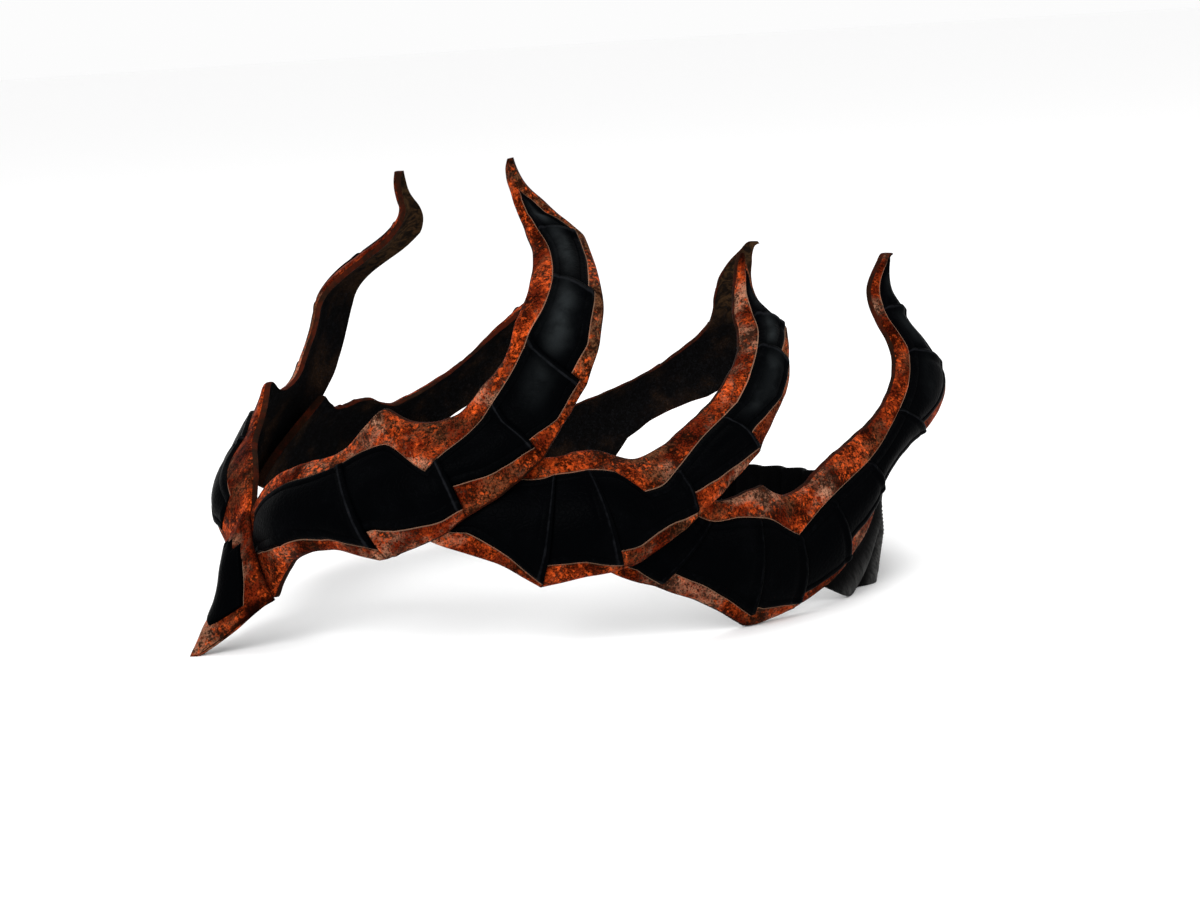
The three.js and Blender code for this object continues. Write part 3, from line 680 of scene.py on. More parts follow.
def lame_relief(plate, leather, panel, lame_ends, stations):
    """How far the panel stands up at each section, and the marks that follow its lames, among them wear that
    is partly a painted highlight on the beads, a painted sheen and a painted shade on the horn.
    """
    place, length, taper = stations
    start = panel["start"]
    bounds = [start, *[end for end in lame_ends if start < end < panel["end"]], panel["end"]]
    share, from_start, to_end, lame = lame_places(place, length, bounds)
    ends_in_step = lame < len(bounds) - 2
    follows_one = lame > 0
    along = place / place[-1]
    on_horn = ease(*HORN_ROWS, along)

    lame_share = plate.get("lame_share", 1.0)
    step = leather.lame_step / MILLI * lame_share
    bead = leather.bead_rise / MILLI * lame_share * ends_in_step
    beaded = swell(to_end, *BEAD)
    rounded = np.clip(1.0 - to_end / ROUND_WIDTH, 0.0, 1.0) * ends_in_step
    tuck = np.clip(1.0 - from_start / TUCK_WIDTH, 0.0, 1.0) * follows_one
    flat = START_RISE + (1.0 - START_RISE) * ease(start, start + panel["start_flat"], place)
    thin = 1.0 - HORN_THINNING * on_horn
    rise = flat * thin * (leather.panel_rise / MILLI + step * share ** LAME_CURVE * ends_in_step)
    rise = rise + bead * (beaded - PRESSED_SHARE * swell(to_end, *PRESSED))
    rise = rise - ROUND_DEPTH * (1.0 - np.sqrt(1.0 - rounded ** 2)) - TUCK_DEPTH * tuck ** 2
    rise = rise * np.clip(taper * 2.0, 0.0, 1.0)

    lip_share = plate.get("lip_share", 1.0)
    cut = swell(to_end, 0.0, CUT_WIDTH) * ends_in_step + swell(from_start, 0.0, CUT_WIDTH) * follows_one
    wear = {
        "lip": beaded * ends_in_step * (lip_share + (1.0 - lip_share) * on_horn),
        "cut": np.minimum(cut, 1.0),
        "polish": plate.get("sheen_share", 1.0) * ease(*HORN_SHEEN, along) * np.sin(np.pi * share),
        "tip": ease(*HORN_TIP, along),
        # Painted shade on the horn's rear border
        "shade": ease(*HORN_SHADE, along),
        "burnt": ease(*HORN_BURNT, along),
    }
    return rise, wear


def section_columns(leather, width, shape, room, cut):
    """Places round a section, as offset from the upper edge, height, finish and mark."""
    first, last, rise = shape["first"], shape["last"], shape["rise"]
    thick = leather.thickness / MILLI
    border = np.minimum(first, width - last)
    skive = np.minimum(leather.skive / MILLI, np.minimum(width / SKIVE_PARTS, border * SKIVE_OF_BORDER))
    bevel = np.minimum(leather.bevel / MILLI, (last - first) / BEVEL_PARTS)
    inset = np.minimum(leather.tool_inset / MILLI, (last - first) / TOOL_PARTS)
    groove = leather.groove / MILLI * np.clip(rise, 0.0, 1.0)
    knife = np.minimum(KNIFE_WIDTH, border * KNIFE_OF_BORDER)
    tool = leather.tool_depth / MILLI * room
    pillow = leather.pillow / MILLI * room
    hem = np.minimum(HEM, width / HEM_PARTS)
    zero = np.zeros_like(width)

    def side(edge, inward):
        """From the burnished edge over the border, the knife line and the bevel on to the panel."""
        boundary = first if inward > 0 else width - last
        sunk = zero if inward > 0 else leather.groove / MILLI * cut
        foot = boundary + BEVEL_END * bevel
        points = [(zero, RIM_SHARE * thick - sunk, EDGE, 0.0)]
        for spot, height in SKIVE_PROFILE:
            points.append((spot * skive, height * thick - sunk, COPPER, 0.0))
        for part in np.linspace(0.0, 1.0, BORDER_POINTS):
            points.append((skive + (boundary - knife - skive) * part, thick - sunk, COPPER, 0.0))
        points.append((boundary - KNIFE_SHARE * knife, thick - groove, COPPER, 1.0))
        points.append((boundary, thick - groove, BLACK, 1.0))
        for spot, height, mark in BEVEL_PROFILE:
            points.append((boundary + spot * bevel, thick + height * rise, BLACK, mark))
        for spot, depth, mark in TOOL_PROFILE:
            points.append((foot + inset * spot, thick + rise - tool * depth, BLACK, mark))
        return [(edge + inward * offset, *rest) for offset, *rest in points]

    begin = first + BEVEL_END * bevel + inset * TOOL_END
    finish = last - BEVEL_END * bevel - inset * TOOL_END
    columns = side(zero, 1.0)
    for part in np.linspace(0.0, 1.0, PANEL_POINTS)[1:-1]:
        crown = pillow * 4.0 * part * (1.0 - part)
        columns.append((begin + (finish - begin) * part, thick + rise + crown, BLACK, 0.0))
    columns += reversed(side(width, -1.0))
    columns += [(width, hem, EDGE, 0.0), (width - HEM_ROUND * hem, HEM_ROUND * hem, EDGE, 0.0)]
    for part in np.linspace(1.0, 0.0, INSIDE_POINTS):
        columns.append((hem + (width - 2.0 * hem) * part, zero, INSIDE, 0.0))
    return columns + [(HEM_ROUND * hem, HEM_ROUND * hem, EDGE, 0.0), (zero, hem, EDGE, 0.0)]


def section_rings(plate, leather, lines, shape, arch, wear):
    """The closed outline of every section on the domed wall, with face finishes and masks."""
    top, across, width = lines
    first, last, taper = shape["first"][:, None], shape["last"][:, None], shape["taper"]
    room = np.clip((last - first)[:, 0] / FULL_PANEL, 0.0, 1.0) * np.clip(taper * 2.0 - 1.0, 0.0, 1.0)
    columns = section_columns(leather, width, shape, room, wear["cut"])
    offset, distance, finishes, mark = columns_apart(columns, len(width))

    share = offset / width[:, None]
    spot = top[:, None, :] + across[:, None, :] * share[:, :, None]
    crest = arch["crest"][:, None]
    reach = np.where(share < crest, crest, 1.0 - crest)
    bulge = arch["dome"][:, None] * (1.0 - ((share - crest) / reach) ** 2)
    height = spot[..., 1] - plate.get("tip_drop", 0.0) * ease(*TIP_HEIGHTS, spot[..., 1])
    rings = wall_point(plate, spot[..., 0], height, arch["lift"][:, None] * share + bulge + distance)
    rings[..., 2] = np.maximum(rings[..., 2], 0.0)

    bare = taper < 1e-3
    finishes[(bare[:-1] & bare[1:])[:, None] & (finishes == BLACK)] = COPPER
    worn = {label: mask[:, None] for label, mask in wear.items()}
    below = offset > last
    # Painted sheen: a lighter band along the middle of each horn lame, standing in for a highlight
    polish = worn["polish"] * swell((offset - first) / (last - first), *SHEEN_SWELL)
    masks = {
        "polish": polish * room[:, None],
        "rim": np.clip(np.minimum(offset, width[:, None] - offset) / RIM_REACH, 0.0, 1.0),
        "seam": np.maximum(mark, 0.0) * np.clip(taper, 0.0, 1.0)[:, None],
        # The lip mask lightens the beads and tooled rims, partly as wear and partly as a painted highlight
        "lip": np.maximum(worn["lip"], np.maximum(-mark, 0.0) * room[:, None]),
        "cut": np.maximum(np.where(below, worn["cut"], 0.0), worn["burnt"]),
        "tip": np.broadcast_to(worn["tip"], offset.shape),
        "shade": np.where(below, worn["shade"], 0.0),
    }
    return rings, finishes, masks


def face_tags(tags):
    """The finish of the face that starts at each place round a section."""
    following = np.roll(tags, -1)
    faces = np.where(tags == following, tags, np.maximum(tags, following))
    knife = ((tags == COPPER) & (following == BLACK)) | ((tags == BLACK) & (following == COPPER))
    rims = (tags == EDGE) | (following == EDGE)
    return np.where(knife, COPPER, np.where(rims, EDGE, faces))


def columns_apart(columns, count):
    """Offsets and heights at a number of sections, the finishes of their faces, and the marks."""
    offset = np.stack([np.broadcast_to(column[0], count) for column in columns], 1)
    distance = np.stack([np.broadcast_to(column[1], count) for column in columns], 1)
    finishes = np.tile(face_tags(np.array([column[2] for column in columns])), (count - 1, 1))
    return offset, distance, finishes, np.array([column[3] for column in columns])


def build_plates(plate):
    """The left and right plate of one kind."""
    settings = bpy.context.scene.leather_crown
    materials = plate_materials()
    for side, mirror, seed in SIDES:
        node = f"{side}_{plate['name']}"
        own = {**plate, **plate.get(side, {})}
        rings, finishes, masks = plate_rings(own, settings.leather, seed)
        piece = ring_mesh(f"{node}_leather", rings, finishes, masks, materials, mirror)
        take_place(piece, node)


def brow_places(place, share, panel_share):
    """Rows of the table at each point of the brow, pulled to the top and the foot of its panel."""
    across = np.clip(np.abs(share) / panel_share[:, None], 0.0, 1.0)
    border = np.clip((1.0 - np.abs(share)) / (1.0 - panel_share[:, None]), 0.0, 1.0)
    top = np.interp(place, (PANEL_TOP_REACH[0], CENTRE_PANEL[0], PANEL_TOP_REACH[1]), (0.0, 1.0, 0.0))
    foot = np.interp(place, (PANEL_FOOT_REACH[0], CENTRE_PANEL[1], PANEL_FOOT_REACH[1]), (0.0, 1.0, 0.0))
    pull = top[:, None] * (np.interp(across, PANEL_SHARES, PANEL_TOP) - CENTRE_PANEL[0])
    pull = pull + foot[:, None] * (np.interp(across, PANEL_SHARES, PANEL_FOOT) - CENTRE_PANEL[1])
    return place[:, None] + pull * border


def brow_stations(leather):
    """Rows of the table, and parts of them, where the brow plate has its sections."""
    stations = []
    for k in range(len(CENTRE_ROWS) - 1):
        reach = max(math.dist(CENTRE_ROWS[k][2:5], CENTRE_ROWS[k + 1][2:5]), BROW_LEAST_REACH)
        steps = max(BROW_LEAST_STEPS, round(reach / (leather.spacing / MILLI)))
        stations += [k + step / steps for step in range(steps)]
    return np.array([*stations, len(CENTRE_ROWS) - 1.0])


def rows_at(place):
    """The row of the brow's table before each place, and the share of the way on."""
    k = np.minimum(place.astype(int), len(CENTRE_ROWS) - 2)
    return k, place - k


def brow_columns(leather, place, span, thick, panel_share, inside):
    """Places round a section of the brow, as share from the ridge, height, finish and mark, which is
    below 0 in the line along the nose guard."""
    rise = leather.panel_rise / MILLI * inside
    groove = leather.groove / MILLI * np.clip(inside * PANEL_SHARPNESS, 0.0, 1.0)
    widths = {"skive": leather.skive / MILLI, "bevel": leather.bevel / MILLI, "knife": KNIFE_WIDTH,
              "line": NOSE_LINE_INSET}
    tool = {name: np.minimum(width / span, BROW_LIMITS[name]) for name, width in widths.items()}
    line, knife, bevel = tool["line"], tool["knife"], tool["bevel"]
    line_depth = NOSE_LINE_DEPTH * ease(*NOSE_LINE_ROWS, place)
    zero = np.zeros_like(place)
    half = [(1.0 + zero, RIM_SHARE * thick, COPPER, 0.0)]
    for spot, height in SKIVE_PROFILE:
        half.append((1.0 - spot * tool["skive"], height * thick, COPPER, 0.0))
    for spot, depth, _ in TOOL_PROFILE:
        half.append((1.0 - line * spot, thick - line_depth * depth, COPPER, -depth))
    border = 1.0 - TOOL_END * line - panel_share - knife
    for part in BROW_BORDER_PARTS:
        half.append((panel_share + knife + border * part, thick, COPPER, 0.0))
    half.append((panel_share + KNIFE_SHARE * knife, thick - groove, COPPER, 1.0))
    half.append((panel_share, thick - groove, BLACK, 1.0))
    for spot, height in BROW_BEVEL:
        half.append((panel_share - spot * bevel, thick + height * rise, BLACK, 0.0))
    for part in BROW_PANEL_PARTS:
        half.append(((panel_share - BROW_BEVEL_END * bevel) * part, thick + rise, BLACK, 0.0))
    columns = half + [(zero, thick + rise, BLACK, 0.0)]
    columns += [(-share, *rest) for share, *rest in reversed(half)]
    columns += [(-1.0 + zero, BROW_INNER_RIM * thick, COPPER, 0.0)]
    columns += [(zero + part, zero, INSIDE, 0.0) for part in BROW_INSIDE_PARTS]
    return columns + [(1.0 + zero, BROW_INNER_RIM * thick, COPPER, 0.0)]


def build_centre_plate():
    """The folded brow plate with its nose guard."""
    leather = bpy.context.scene.leather_crown.leather
    rows = read_table(CENTRE_COLUMNS, CENTRE_ROWS)
    tails = ["edge" in text for text in rows["corner"]]
    ridge = smooth_line(list(zip(rows["ridge_y"], rows["ridge_z"])), [False] * len(CENTRE_ROWS))
    edge = smooth_line(list(zip(rows["edge_x"], rows["edge_y"], rows["edge_z"])), tails)
    place = brow_stations(leather)
    k, t = rows_at(place)
    panel_share = smooth_column(rows["panel"])(k, t)
    thick = smooth_column(rows["leather"])(k, t)
    span = np.linalg.norm(edge(k, t) - np.column_stack([0 * t, ridge(k, t)]), axis=1)
    outer, inner = PANEL_FADE
    top_row, foot_row = CENTRE_PANEL
    inside = ease(top_row - outer, top_row + inner, place)
    inside = inside * (1.0 - ease(foot_row - inner, foot_row + outer, place))
    columns = brow_columns(leather, place, span, thick, panel_share, inside)
    share, distance, finishes, mark = columns_apart(columns, len(place))

    def skin_at(shares):
        spot = np.clip(brow_places(place, shares, panel_share), 0.0, len(CENTRE_ROWS) - 1.0)
        at = rows_at(spot.reshape(-1))
        return fold_skin(ridge(*at).reshape(*shares.shape, 2), edge(*at).reshape(*shares.shape, 3), shares)

    skin = skin_at(share)
    side = skin_at(share + NORMAL_REACH) - skin_at(share - NORMAL_REACH)
    normal = np.cross(np.gradient(skin, axis=0), side)
    normal /= np.linalg.norm(normal, axis=-1, keepdims=True)
    normal *= np.where(normal[..., 1:2] > 0.0, -1.0, 1.0)
    rings = skin + normal * (distance - thick[:, None])[..., None]
    rings[..., 1] += BAND_CENTRE_Y
    rings[..., 2] = np.maximum(rings[..., 2], 0.0)

    outside = (place < top_row - 1e-6) | (place > foot_row - 1e-6)
    finishes[outside[:-1, None] & (finishes == BLACK)] = COPPER
    # A darker patch on the tails of the plate
    stain = ease(*TAIL_DARK_ROWS[:2], place) * (1.0 - ease(*TAIL_DARK_ROWS[2:], place))
    stain = stain[:, None] * ease(*TAIL_DARK_SHARES, np.abs(share))
    line = np.maximum(-mark, 0.0) * ease(*NOSE_LINE_ROWS, place)[:, None]
    masks = {label: np.zeros_like(share) for label in ("lip", "polish", "tip", "shade")}
    masks["rim"] = np.clip((1.0 - np.abs(share)) * span[:, None] / RIM_REACH, 0.0, 1.0)
    masks["seam"] = np.maximum(mark, 0.0) * np.clip(inside * PANEL_SHARPNESS, 0.0, 1.0)[:, None]
    masks["cut"] = np.maximum(line, stain)
    rings, finishes = rings[:, ::-1], np.roll(finishes[:, ::-1], -1, axis=1)
    masks = {label: mask[:, ::-1] for label, mask in masks.items()}
    piece = ring_mesh("centre_plate_leather", rings, finishes, masks, plate_materials())
    take_place(piece, "centre_plate")


def fold_skin(ridge_points, edge_points, share):
    """Points of the folded brow at shares from the ridge to the edges, rounded along the ridge."""
    def rounded(value):
        return np.sqrt(value * value + RIDGE_ROUNDING ** 2) - RIDGE_ROUNDING
    away = rounded(share) / rounded(np.float64(1.0))
    x = share * edge_points[..., 0]
    y = ridge_points[..., 0] * (1.0 - away) + edge_points[..., 1] * away
    z = ridge_points[..., 1] * (1.0 - away) + edge_points[..., 2] * away
    return np.stack([x, y, z], -1)


def build_back_strap():
    """The soft pleated strap round the back of the crown."""
    strap = bpy.context.scene.leather_crown.strap
    height, thick = strap.height / MILLI, strap.thickness / MILLI
    pitch, depth = strap.pleat_pitch / MILLI, strap.pleat_depth / MILLI
    count = round(2.0 * (HALF_GIRTH - STRAP_START) / (strap.spacing / MILLI))
    length = np.linspace(STRAP_START, 2.0 * HALF_GIRTH - STRAP_START, count)
    near = length <= HALF_GIRTH
    own = np.where(near, length, 2.0 * HALF_GIRTH - length)
    point, _, out = band_at(own)
    flip = np.where(near, 1.0, -1.0)[:, None]
    bottom = STRAP_START_BOTTOM * (1.0 - ease(STRAP_START, STRAP_FLAT_FROM, own))

    columns = [(1.0, thick - STRAP_HEM), (1.0, thick - STRAP_ROUND)]
    columns += [(part, thick) for part in STRAP_OUTER_PARTS]
    columns += [(0.0, thick - STRAP_ROUND), (0.0, STRAP_HEM)]
    columns += [(part, 0.0) for part in STRAP_INNER_PARTS]
    columns += [(1.0, STRAP_HEM)]
    part, skin = np.array(columns).T
    z = bottom[:, None] + (height - bottom)[:, None] * part

    ahead = GATHER_AT - own[:, None]
    below = height + GATHER_OVER - z
    spread = np.arctan2(np.maximum(ahead, 0.0), below)
    phase = np.where(ahead > 0.0, spread / strap.pleat_fan, ahead / pitch)
    pleats = 1.0 - ease(*FAN_LIMITS, spread)
    each, other_side = UNEVEN_TURNS
    uneven = UNEVEN_LEAST + UNEVEN_RANGE * np.abs(np.sin(np.floor(phase) * each + flip * other_side))
    turn = 2.0 * np.pi * phase
    wave = (1.0 - np.cos(turn + PLEAT_SKEW * np.sin(turn))) / 2.0
    crease = CREASE_SHARE * np.sin(turn * 2.0 + CREASE_PHASE) * wave
    gathered = np.minimum(np.hypot(ahead, below) / height, 1.0)
    pinch = np.where(ahead > 0.0, gathered, 1.0 - PLEAT_PINCH * z / height)
    nape = strap.nape_lean / MILLI * ease(*STRAP_LEAN, own)[:, None] * (1.0 - z / height)
    distance = depth * pleats * (wave + crease) * pinch * np.minimum(uneven, 1.0) + skin - nape
    z = z + strap.hem_wave / MILLI * pleats * (1.0 - wave) * (1.0 - part) ** 2
    x = flip * (point[:, None, 0] + out[:, None, 0] * distance)
    y = point[:, None, 1] + out[:, None, 1] * distance

    outer = (skin > thick / 2.0).astype(float)
    rim = np.clip(np.minimum(part, 1.0 - part) * height / STRAP_RIM_REACH, 0.0, 1.0)
    masks = {
        # The ridge mask carries the painted highlight on the pleats
        "ridge": np.clip(wave * pleats, 0.0, 1.0) * outer,
        "rim": np.broadcast_to(rim, z.shape),
    }
    finishes = np.zeros((len(length) - 1, len(columns)), int)
    piece = ring_mesh("back_strap_leather", np.stack([x, y, z], -1), finishes, masks, [strap_material()])
    take_place(piece, "back_strap")


# Finishes

# Sockets of a colour mix, which share their names with other kinds of mix
MIX_FACTOR, MIX_FIRST, MIX_SECOND = 0, 6, 7
MIX_RESULT = 2

# Clouds of noise, as scale, detail, roughness and distortion
CLOUD_SOCKETS = ("Scale", "Detail", "Roughness", "Distortion")
CLOUDS = {
    "warp": (260.0, 2.0, 0.55, 0.0),
    "pores": (2400.0, 3.0, 0.6, 0.0),
    "orange": (85.0, 5.0, 0.6, 0.5),
    "grains": (1700.0, 4.0, 0.7, 0.0),
    "coarse": (480.0, 5.0, 0.68, 0.0),
    "smoke": (130.0, 4.0, 0.6, 0.0),
    "tan": (55.0, 4.0, 0.6, 0.0),
    "bronze": (62.0, 4.0, 0.6, 0.0),
    "pits": (1500.0, 4.0, 0.7, 0.0),
    "flakes": (820.0, 3.0, 0.6, 0.0),
    "ragged": (520.0, 4.0, 0.65, 0.0),
    "patches": (70.0, 5.0, 0.6, 0.0),
    "motes": (1800.0, 2.0, 0.5, 0.0),
    "dye": (140.0, 4.0, 0.55, 0.0),
    "fibre": (900.0, 6.0, 0.75, 1.2),
    "smears": (240.0, 5.0, 0.65, 1.5),
    "streak": (620.0, 5.0, 0.7, 0.0),
}

# Places in the clouds of noise that are far from each other, so that the patches don't coincide
SMOKE_PLACE = (0.6, 0.8, 0.4)
TAN_PLACE = (0.3, 0.1, 0.7)
BRONZE_PLACE = (0.9, 0.5, 0.2)
EDGE_PATINA_SHIFT = 0.4
# How far the cells of the grain are warped, in metres, and the stretch of the strap's streaks
GRAIN_WARP = 0.0016
STREAK_STRETCH = (1.0, 1.0, 0.12)

# How much light each finish throws back, and the depth of its relief in metres
COPPER_GLOSS = 0.002
BLACK_GLOSS = 0.004
EDGE_GLOSS = 0.004
FLESH_GLOSS = 0.002
STRAP_GLOSS = 0.005
FLOOR_GLOSS = 0.2
COPPER_RELIEF = 0.00022
BLACK_RELIEF = 0.00007
EDGE_RELIEF = 0.00012
FLESH_RELIEF = 0.0002
STRAP_RELIEF = 0.00018
# Roughness of the finishes that are even
FLESH_ROUGHNESS = 0.82
FLOOR_ROUGHNESS = 0.9


def add_node(tree, kind, inputs=None, **settings):
    """A node with its settings; an input is a value, or a socket to link."""
    node = tree.nodes.new(kind)
    for name, value in settings.items():
        setattr(node, name, value)
    for name, value in (inputs or {}).items():
        if isinstance(value, bpy.types.NodeSocket):
            tree.links.new(value, node.inputs[name])
        else:
            node.inputs[name].default_value = value
    return node


def mix_colour(tree, factor, first, second):
    """The second colour over the first."""
    inputs = {MIX_FACTOR: factor}
    for number, colour in ((MIX_FIRST, first), (MIX_SECOND, second)):
        inputs[number] = colour if isinstance(colour, bpy.types.NodeSocket) else (*colour, 1.0)
    return add_node(tree, "ShaderNodeMix", inputs, data_type="RGBA").outputs[MIX_RESULT]


def math_node(tree, operation, first, second):
    """One step of arithmetic."""
    return add_node(tree, "ShaderNodeMath", {0: first, 1: second}, operation=operation).outputs[0]


def times(tree, first, second):
    """A product."""
    return math_node(tree, "MULTIPLY", first, second)


def plus(tree, first, second):
    """A sum."""
    return math_node(tree, "ADD", first, second)


def blend(tree, first, first_share, second, second_share):
    """Two heights or clouds added up by their shares."""
    return plus(tree, times(tree, first, first_share), times(tree, second, second_share))


def layer(tree, colour, mask, strength, over):
    """A colour laid over another where a mask shows it."""
    return mix_colour(tree, times(tree, mask, strength), colour, over)


def step_up(tree, value, low, high, to_low=0.0, to_high=1.0):
    """A soft step from to_low at low to to_high at high."""
    inputs = {"Value": value, "From Min": low, "From Max": high, "To Min": to_low, "To Max": to_high}
    return add_node(tree, "ShaderNodeMapRange", inputs, interpolation_type="SMOOTHSTEP").outputs["Result"]


def noise(tree, vector, name):
    """A cloud of noise."""
    inputs = {"Vector": vector, **dict(zip(CLOUD_SOCKETS, CLOUDS[name]))}
    return add_node(tree, "ShaderNodeTexNoise", inputs).outputs["Fac"]


def surface_vector(tree, shift=None):
    """Places on the object, moved along by shift."""
    vector = add_node(tree, "ShaderNodeTexCoord").outputs["Object"]
    if shift is None:
        return vector
    move = add_node(tree, "ShaderNodeCombineXYZ", {"X": shift, "Y": shift, "Z": shift}).outputs[0]
    return add_node(tree, "ShaderNodeVectorMath", {0: vector, 1: move}, operation="ADD").outputs[0]


def shifted(tree, vector, by):
    """The same places, moved so that another cloud falls elsewhere."""
    return add_node(tree, "ShaderNodeMapping", {"Vector": vector, "Location": by}).outputs[0]


def shared_group(name, inputs, outputs, fill):
    """A node group with float sockets, filled the first time that a finish asks for it."""
    if name in bpy.data.node_groups:
        return bpy.data.node_groups[name]
    tree = bpy.data.node_groups.new(name, "ShaderNodeTree")
    for label, value in inputs.items():
        socket = tree.interface.new_socket(label, in_out="INPUT", socket_type="NodeSocketFloat")
        socket.default_value = value
    for label in outputs:
        tree.interface.new_socket(label, in_out="OUTPUT", socket_type="NodeSocketFloat")
    given = tree.nodes.new("NodeGroupInput").outputs
    result = tree.nodes.new("NodeGroupOutput").inputs
    for label, socket in fill(tree, given).items():
        tree.links.new(socket, result[label])
    return tree


def grain_group():
    """Leather grain: Height of the pebbles and pores."""
    def fill(tree, given):
        vector = surface_vector(tree)
        warp = times(tree, noise(tree, vector, "warp"), GRAIN_WARP)
        cells = add_node(tree, "ShaderNodeTexVoronoi",
                         {"Vector": surface_vector(tree, warp), "Scale": given["Scale"]},
                         feature="DISTANCE_TO_EDGE")
        pebble = step_up(tree, cells.outputs["Distance"], 0.0, 0.22)
        fine = noise(tree, vector, "pores")
        return {"Height": blend(tree, pebble, 0.6, fine, 0.4)}

    return shared_group("Leather grain", {"Scale": 900.0}, ("Height",), fill)


def patina_group():
    """Patina mottling: masks for the clouds, patches, grains and flecks of a painted copper finish."""
    def fill(tree, given):
        vector = surface_vector(tree, given["Shift"])
        cloud = noise(tree, vector, "orange")
        grains = noise(tree, vector, "grains")
        coarse = noise(tree, vector, "coarse")
        smoke = noise(tree, shifted(tree, vector, SMOKE_PLACE), "smoke")
        tan = noise(tree, shifted(tree, vector, TAN_PLACE), "tan")
        bronze = noise(tree, shifted(tree, vector, BRONZE_PLACE), "bronze")
        orange = step_up(tree, plus(tree, times(tree, coarse, 0.6), cloud), 0.7, 0.98)
        speckle = blend(tree, coarse, 0.35, grains, 0.35)
        gritty = blend(tree, grains, 0.5, coarse, 0.5)
        blotch = step_up(tree, plus(tree, gritty, times(tree, smoke, 0.45)), 0.63, 0.79)
        pits = step_up(tree, noise(tree, vector, "pits"), 0.49, 0.59, 0.0, 0.92)
        flakes = step_up(tree, noise(tree, vector, "flakes"), 0.52, 0.64)
        return {
            "Orange": orange,
            "Tan": step_up(tree, plus(tree, tan, speckle), 0.85, 1.0),
            "Bronze": step_up(tree, plus(tree, bronze, speckle), 0.84, 1.02),
            "Soot": math_node(tree, "MAXIMUM", blotch, pits),
            "Fleck": times(tree, orange, flakes),
            "Height": blend(tree, grains, 0.6, coarse, 0.5),
        }

    outputs = ("Orange", "Tan", "Bronze", "Soot", "Fleck", "Height")
    return shared_group("Patina mottling", {"Shift": 0.0}, outputs, fill)


def wear_group():
    """Edge wear: a mask that is strong at a rim and breaks up away from it."""
    def fill(tree, given):
        ragged = times(tree, noise(tree, surface_vector(tree), "ragged"), 0.35)
        limit = plus(tree, given["Reach"], 0.12)
        return {"Mask": step_up(tree, plus(tree, given["Rim"], ragged), limit, 0.1)}

    return shared_group("Edge wear", {"Rim": 1.0, "Reach": 0.25}, ("Mask",), fill)


def dust_group():
    """Settled dust: a faint mask in soft patches."""
    def fill(tree, given):
        vector = surface_vector(tree)
        patches = step_up(tree, noise(tree, vector, "patches"), 0.45, 0.75)
        motes = step_up(tree, noise(tree, vector, "motes"), 0.5, 0.72)
        both = times(tree, patches, plus(tree, times(tree, motes, 0.7), 0.3))
        return {"Mask": times(tree, both, given["Amount"])}

    return shared_group("Settled dust", {"Amount": 0.1}, ("Mask",), fill)


def use_group(tree, group, **inputs):
    """The outputs of a node group placed in a material, with its own values."""
    return add_node(tree, "ShaderNodeGroup", inputs, node_tree=group).outputs


def mask_of(tree, label):
    """A mask that the mesh carries."""
    return add_node(tree, "ShaderNodeAttribute", attribute_name=label).outputs["Fac"]


def new_finish(name, gloss):
    """An empty material with its shader."""
    material = bpy.data.materials.new(name)
    material.use_nodes = True
    tree = material.node_tree
    shader = tree.nodes["Principled BSDF"].inputs
    shader["Specular IOR Level"].default_value = gloss
    return material, tree, shader


def feed(tree, shader, colour, height, relief):
    """Link a colour and the normal of a height to a shader."""
    inputs = {"Height": height, "Distance": relief, "Strength": 1.0}
    tree.links.new(colour, shader["Base Color"])
    tree.links.new(add_node(tree, "ShaderNodeBump", inputs).outputs["Normal"], shader["Normal"])


def copper_material():
    """Mottled copper border."""
    finish = bpy.context.scene.leather_crown.finish
    material, tree, shader = new_finish("Mottled copper leather", COPPER_GLOSS)
    patina = use_group(tree, patina_group(), Shift=0.0)
    grain = use_group(tree, grain_group(), Scale=820.0)["Height"]
    wear = use_group(tree, wear_group(), Rim=mask_of(tree, "rim"), Reach=0.14)["Mask"]
    # Painted shade: the horn's rear border, past the panel, is darkened towards bronze where it turns away
    # from the light
    shade_strength = step_up(tree, patina["Height"], 0.4, 0.7, 0.85, 0.3)
    colour = mix_colour(tree, patina["Orange"], finish.rust, finish.orange)
    for mask, strength, over in (
            (patina["Tan"], 0.65, finish.tan),
            (patina["Bronze"], 0.65, finish.bronze),
            (mask_of(tree, "shade"), shade_strength, finish.bronze),
            (patina["Soot"], 0.95, finish.soot),
            (patina["Fleck"], 0.6, finish.fleck),
            (wear, 0.7, finish.cut_edge),
            (mask_of(tree, "seam"), 0.5, finish.pale_cut),
            (mask_of(tree, "cut"), 0.9, finish.soot)):
        colour = layer(tree, colour, mask, strength, over)
    tree.links.new(step_up(tree, patina["Height"], 0.35, 0.75, 0.36, 0.58), shader["Roughness"])
    tree.links.new(times(tree, patina["Orange"], 0.25), shader["Metallic"])
    feed(tree, shader, colour, blend(tree, patina["Height"], 0.6, grain, 0.4), COPPER_RELIEF)
    return material


